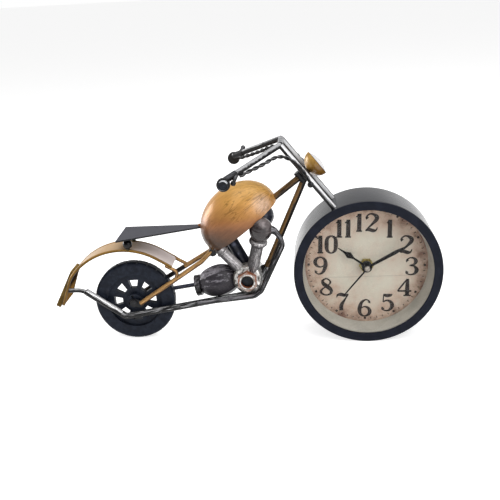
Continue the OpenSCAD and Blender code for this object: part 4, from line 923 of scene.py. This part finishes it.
# Numerals
# Old-style figures printed upright round the dial, thick on the stems and thin on the turns: dull brown
# ink. Each stroke lists across, up and width in hundredths of the figure's height.
figure_h, figure_r, ink_t, figure_wide, bold = 14.4, 35.6, 0.06, 1.48, 1.66
print_turn = np.radians(2)
print_c = clock_c + mm(-0.5, 0, -1.0)
figures = {
    "0": [[(25, 100, 5), (8, 84, 11), (5, 50, 14), (8, 16, 11), (25, 0, 5), (42, 16, 11), (45, 50, 14),
          (42, 84, 11), (25, 100, 5)]],
    "1": [[(20, 0, 14), (20, 50, 14), (20, 100, 13)], [(20, 98, 5), (12, 87, 6), (2, 82, 4)],
          [(4, 2, 5), (36, 2, 5)]],
    "2": [[(11, 72, 12), (7, 82, 7), (16, 97, 5), (29, 98, 7), (43, 84, 14), (42, 66, 13), (28, 42, 8),
          (4, 5, 4)], [(4, 5, 5), (16, 11, 11), (32, 5, 12), (42, 8, 6), (47, 24, 3)]],
    "3": [[(11, 77, 12), (8, 86, 6), (20, 98, 5), (34, 95, 8), (41, 78, 13), (34, 60, 7), (18, 54, 4)],
          [(18, 54, 4), (36, 49, 7), (45, 28, 14), (37, 6, 8), (21, 1, 5), (8, 10, 6), (11, 20, 12)]],
    "4": [[(35, 100, 4), (19, 66, 6), (1, 29, 5)], [(1, 28, 6), (52, 28, 6)],
          [(36, 0, 13), (36, 50, 14), (36, 99, 10)], [(23, 2, 5), (50, 2, 5)]],
    "5": [[(10, 97, 6), (22, 91, 12), (36, 93, 10), (43, 100, 3)], [(11, 96, 4), (10, 52, 4)],
          [(10, 52, 4), (22, 62, 6), (37, 55, 10), (44, 32, 14), (36, 7, 8), (21, 1, 5), (8, 10, 6),
          (11, 20, 12)]],
    "6": [[(40, 80, 12), (42, 89, 6), (30, 99, 5), (14, 84, 10), (6, 45, 14), (10, 13, 10), (25, 0, 5),
          (40, 10, 10), (45, 30, 13), (38, 50, 9), (24, 57, 5), (10, 46, 4)]],
    "7": [[(3, 78, 3), (7, 92, 7), (19, 96, 12), (34, 91, 11), (47, 98, 4)],
          [(47, 97, 3), (33, 63, 7), (22, 32, 13), (22, 0, 13)]],
    "8": [[(39, 86, 6), (25, 99, 5), (11, 86, 9), (15, 68, 13), (31, 50, 15), (44, 30, 12), (41, 10, 8),
          (25, 1, 5), (8, 12, 8), (6, 28, 8), (18, 46, 4), (34, 62, 4), (40, 76, 7), (39, 86, 6)]],
    "9": [[(10, 20, 12), (8, 11, 6), (20, 1, 5), (36, 16, 10), (44, 55, 14), (40, 87, 10), (25, 100, 5),
          (10, 90, 10), (5, 70, 13), (12, 50, 9), (26, 43, 5), (40, 54, 4)]]}
advance = {"1": 0.4, "0": 0.62}
widen = {"1": 1.0, "0": 1.24}


def smooth(points, count=26):
    """A curve through the points in equal shares of their chords, each span a cubic that leaves along its
    neighbours' line."""
    p = np.array(points, float) / 100
    if len(p) == 2:
        p = np.stack([p[0], p.mean(axis=0), p[1]])
    slope = np.gradient(p, axis=0)
    run = np.linspace(0, len(p) - 1, count)
    i = np.minimum(run.astype(int), len(p) - 2)
    t = (run - i)[:, None]
    return ((2 * t**3 - 3 * t**2 + 1) * p[i] + (t**3 - 2 * t**2 + t) * slope[i]
            + (3 * t**2 - 2 * t**3) * p[i + 1] + (t**3 - t**2) * slope[i + 1])


def inked(line, wide):
    """A flat bar of ink along a line on the dial, as wide as half widths in metres say."""
    corners = np.array([[1, 1], [-1, 1], [-1, -1], [1, -1]])
    section = np.stack([
        corners[:, 0] * np.full((len(line), 1), ink_t / 2 * MM),
        corners[:, 1] * np.broadcast_to(wide, len(line))[:, None]], axis=2)
    return swept(line, section, (0.02, 0.02))


def stroke(points, place, size, wider):
    """One pen stroke on the dial: its middle line is a smooth curve and its width changes along it."""
    curve = smooth(points)
    x, z = place[0] + curve[:, 0] * size * wider, place[1] + curve[:, 1] * size
    line = np.stack([
        print_c[0] + x * np.cos(print_turn) + z * np.sin(print_turn),
        np.full(len(curve), dial_front - ink_t / 2 * MM),
        print_c[2] + z * np.cos(print_turn) - x * np.sin(print_turn)], axis=1)
    return inked(line, np.maximum(curve[:, 2], 0.03) * bold * size / 2)


strokes = []
figure_gap = 0.08
for hour in range(1, 13):
    angle = np.radians(30 * hour)
    digits = str(hour)
    widths = [advance.get(digit, 0.74) for digit in digits]
    spot = figure_r * MM * np.array([np.sin(angle), np.cos(angle)])
    spot = spot - figure_h * MM * np.array([(sum(widths) + figure_gap * (len(digits) - 1)) / 2, 0.5])
    for digit, width in zip(digits, widths):
        strokes += [stroke(s, spot, figure_h * MM, widen.get(digit, figure_wide)) for s in figures[digit]]
        spot = spot + [(width + figure_gap) * figure_h * MM, 0]
ink = rubbed(
    "brown_ink", "#231c1b", "#382f2d", (0, -1, 0), 0.5, (4, 4), pull=0.0, metal=0.0, rough=(0.6, 0.65),
    dents=0.0, gloss=0.2)
piece("numerals", ink, "dial_face", *strokes)

# Minute track
# Sixty short ticks printed near the dial's rim, every fifth one a dot: the same dark brown ink, which
# looks as dull as the paper.
track_r = 45.4


def tick(minute):
    """One mark of the track: a short bar along the radius, or a squat one for each fifth minute."""
    a = np.radians(6 * minute) + print_turn
    ray = np.array([np.sin(a), 0, np.cos(a)])
    half, wide = (0.85, 1.8) if minute % 5 == 0 else (0.75, 0.62)
    middle = drum_c + [0, dial_front - ink_t / 2 * MM, 0] + track_r * MM * ray
    return inked(middle + np.linspace(-half, half, 3)[:, None] * MM * ray, wide / 2 * MM)


piece("minute_track", ink, "dial_face", *[tick(m) for m in range(60)])

# Movement and back
# A square battery movement behind the dial, its brass nut in front, the setting knob and the cell behind:
# black and white plastic, brass, a plain sleeve.
coat(rubbed(
    "black_plastic", "#17171a", "#26262a", (0, 1, 0.3), 0.5, (5, 5), metal=0.0, rough=(0.5, 0.55),
    dents=0.05), "movement")
coat(rubbed("nut_brass", "#7d6d35", "#c2b26a", (0, -0.6, 0.75), 0.5, (2, 2), metal=0.6), "movement_nut")
coat(rubbed(
    "knob_plastic", "#dcd9d2", "#eceae5", (0, 0.8, 0.5), 0.5, (4, 4), metal=0.0, rough=(0.4, 0.45),
    dents=0.03), "setting_knob")
coat(rubbed("cell_sleeve", "#5f6166", "#8b8d92", (0, 0.8, 0.5), 0.5, (9, 2), False, metal=0.2), "battery")

# Hands
# Hour, minute and second hands stamped from thin sheet on bushes over the movement's neck: black lacquer;
# the second hand has a blade and a silver cap of its own.
hand_mat = rubbed(
    "hand_lacquer", "#0b0a0a", "#171514", (0, -0.9, 0.4), 0.4, (4, 4), pull=0.0, metal=0.0,
    rough=(0.4, 0.46), dents=0.05, gloss=0.06)
coat(hand_mat, "hour_hand", "minute_hand", "second_hand")
hand_low = np.array(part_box("second_hand")[0])
hand_t, cap_t, blade_w, cap_r = 0.5, 1.4, 1.35, 2.3
blade_y = hand_low[1] + (cap_t - hand_t / 2) * MM
blade_tip = hand_low * [1, 0, 1] + blade_y * across
blade_root = drum_c + blade_y * across
blade_taper = np.linspace([1, 1], [1, 0.75], 9)[:, None]
piece(
    "second_blade", hand_mat, "hand_black",
    swept(
        np.linspace(blade_root, blade_tip, 9), strip(hand_t + 0.1, blade_w, 0.15) * blade_taper,
        (0.1, 0.1)),
    body="second_hand")
cap_a = np.linspace(0, np.pi / 2, 12)
cap_profile = np.concatenate(
    [np.c_[cap_r * np.sin(cap_a), 0.8 * np.cos(cap_a)], [(cap_r, -0.4), (0, -0.4)]])
cap_c = drum_c + hand_low[1] * across
cap_mat = rubbed(
    "cap_silver", "#4a4540", "#a39b90", (0.1, -0.9, 0.2), 0.5, (3, 3), metal=0.4, rough=(0.3, 0.36))
piece("hand_cap", cap_mat, "hand_black", turned(cap_profile, cap_c, (0, -1, 0), 40), body="second_hand")
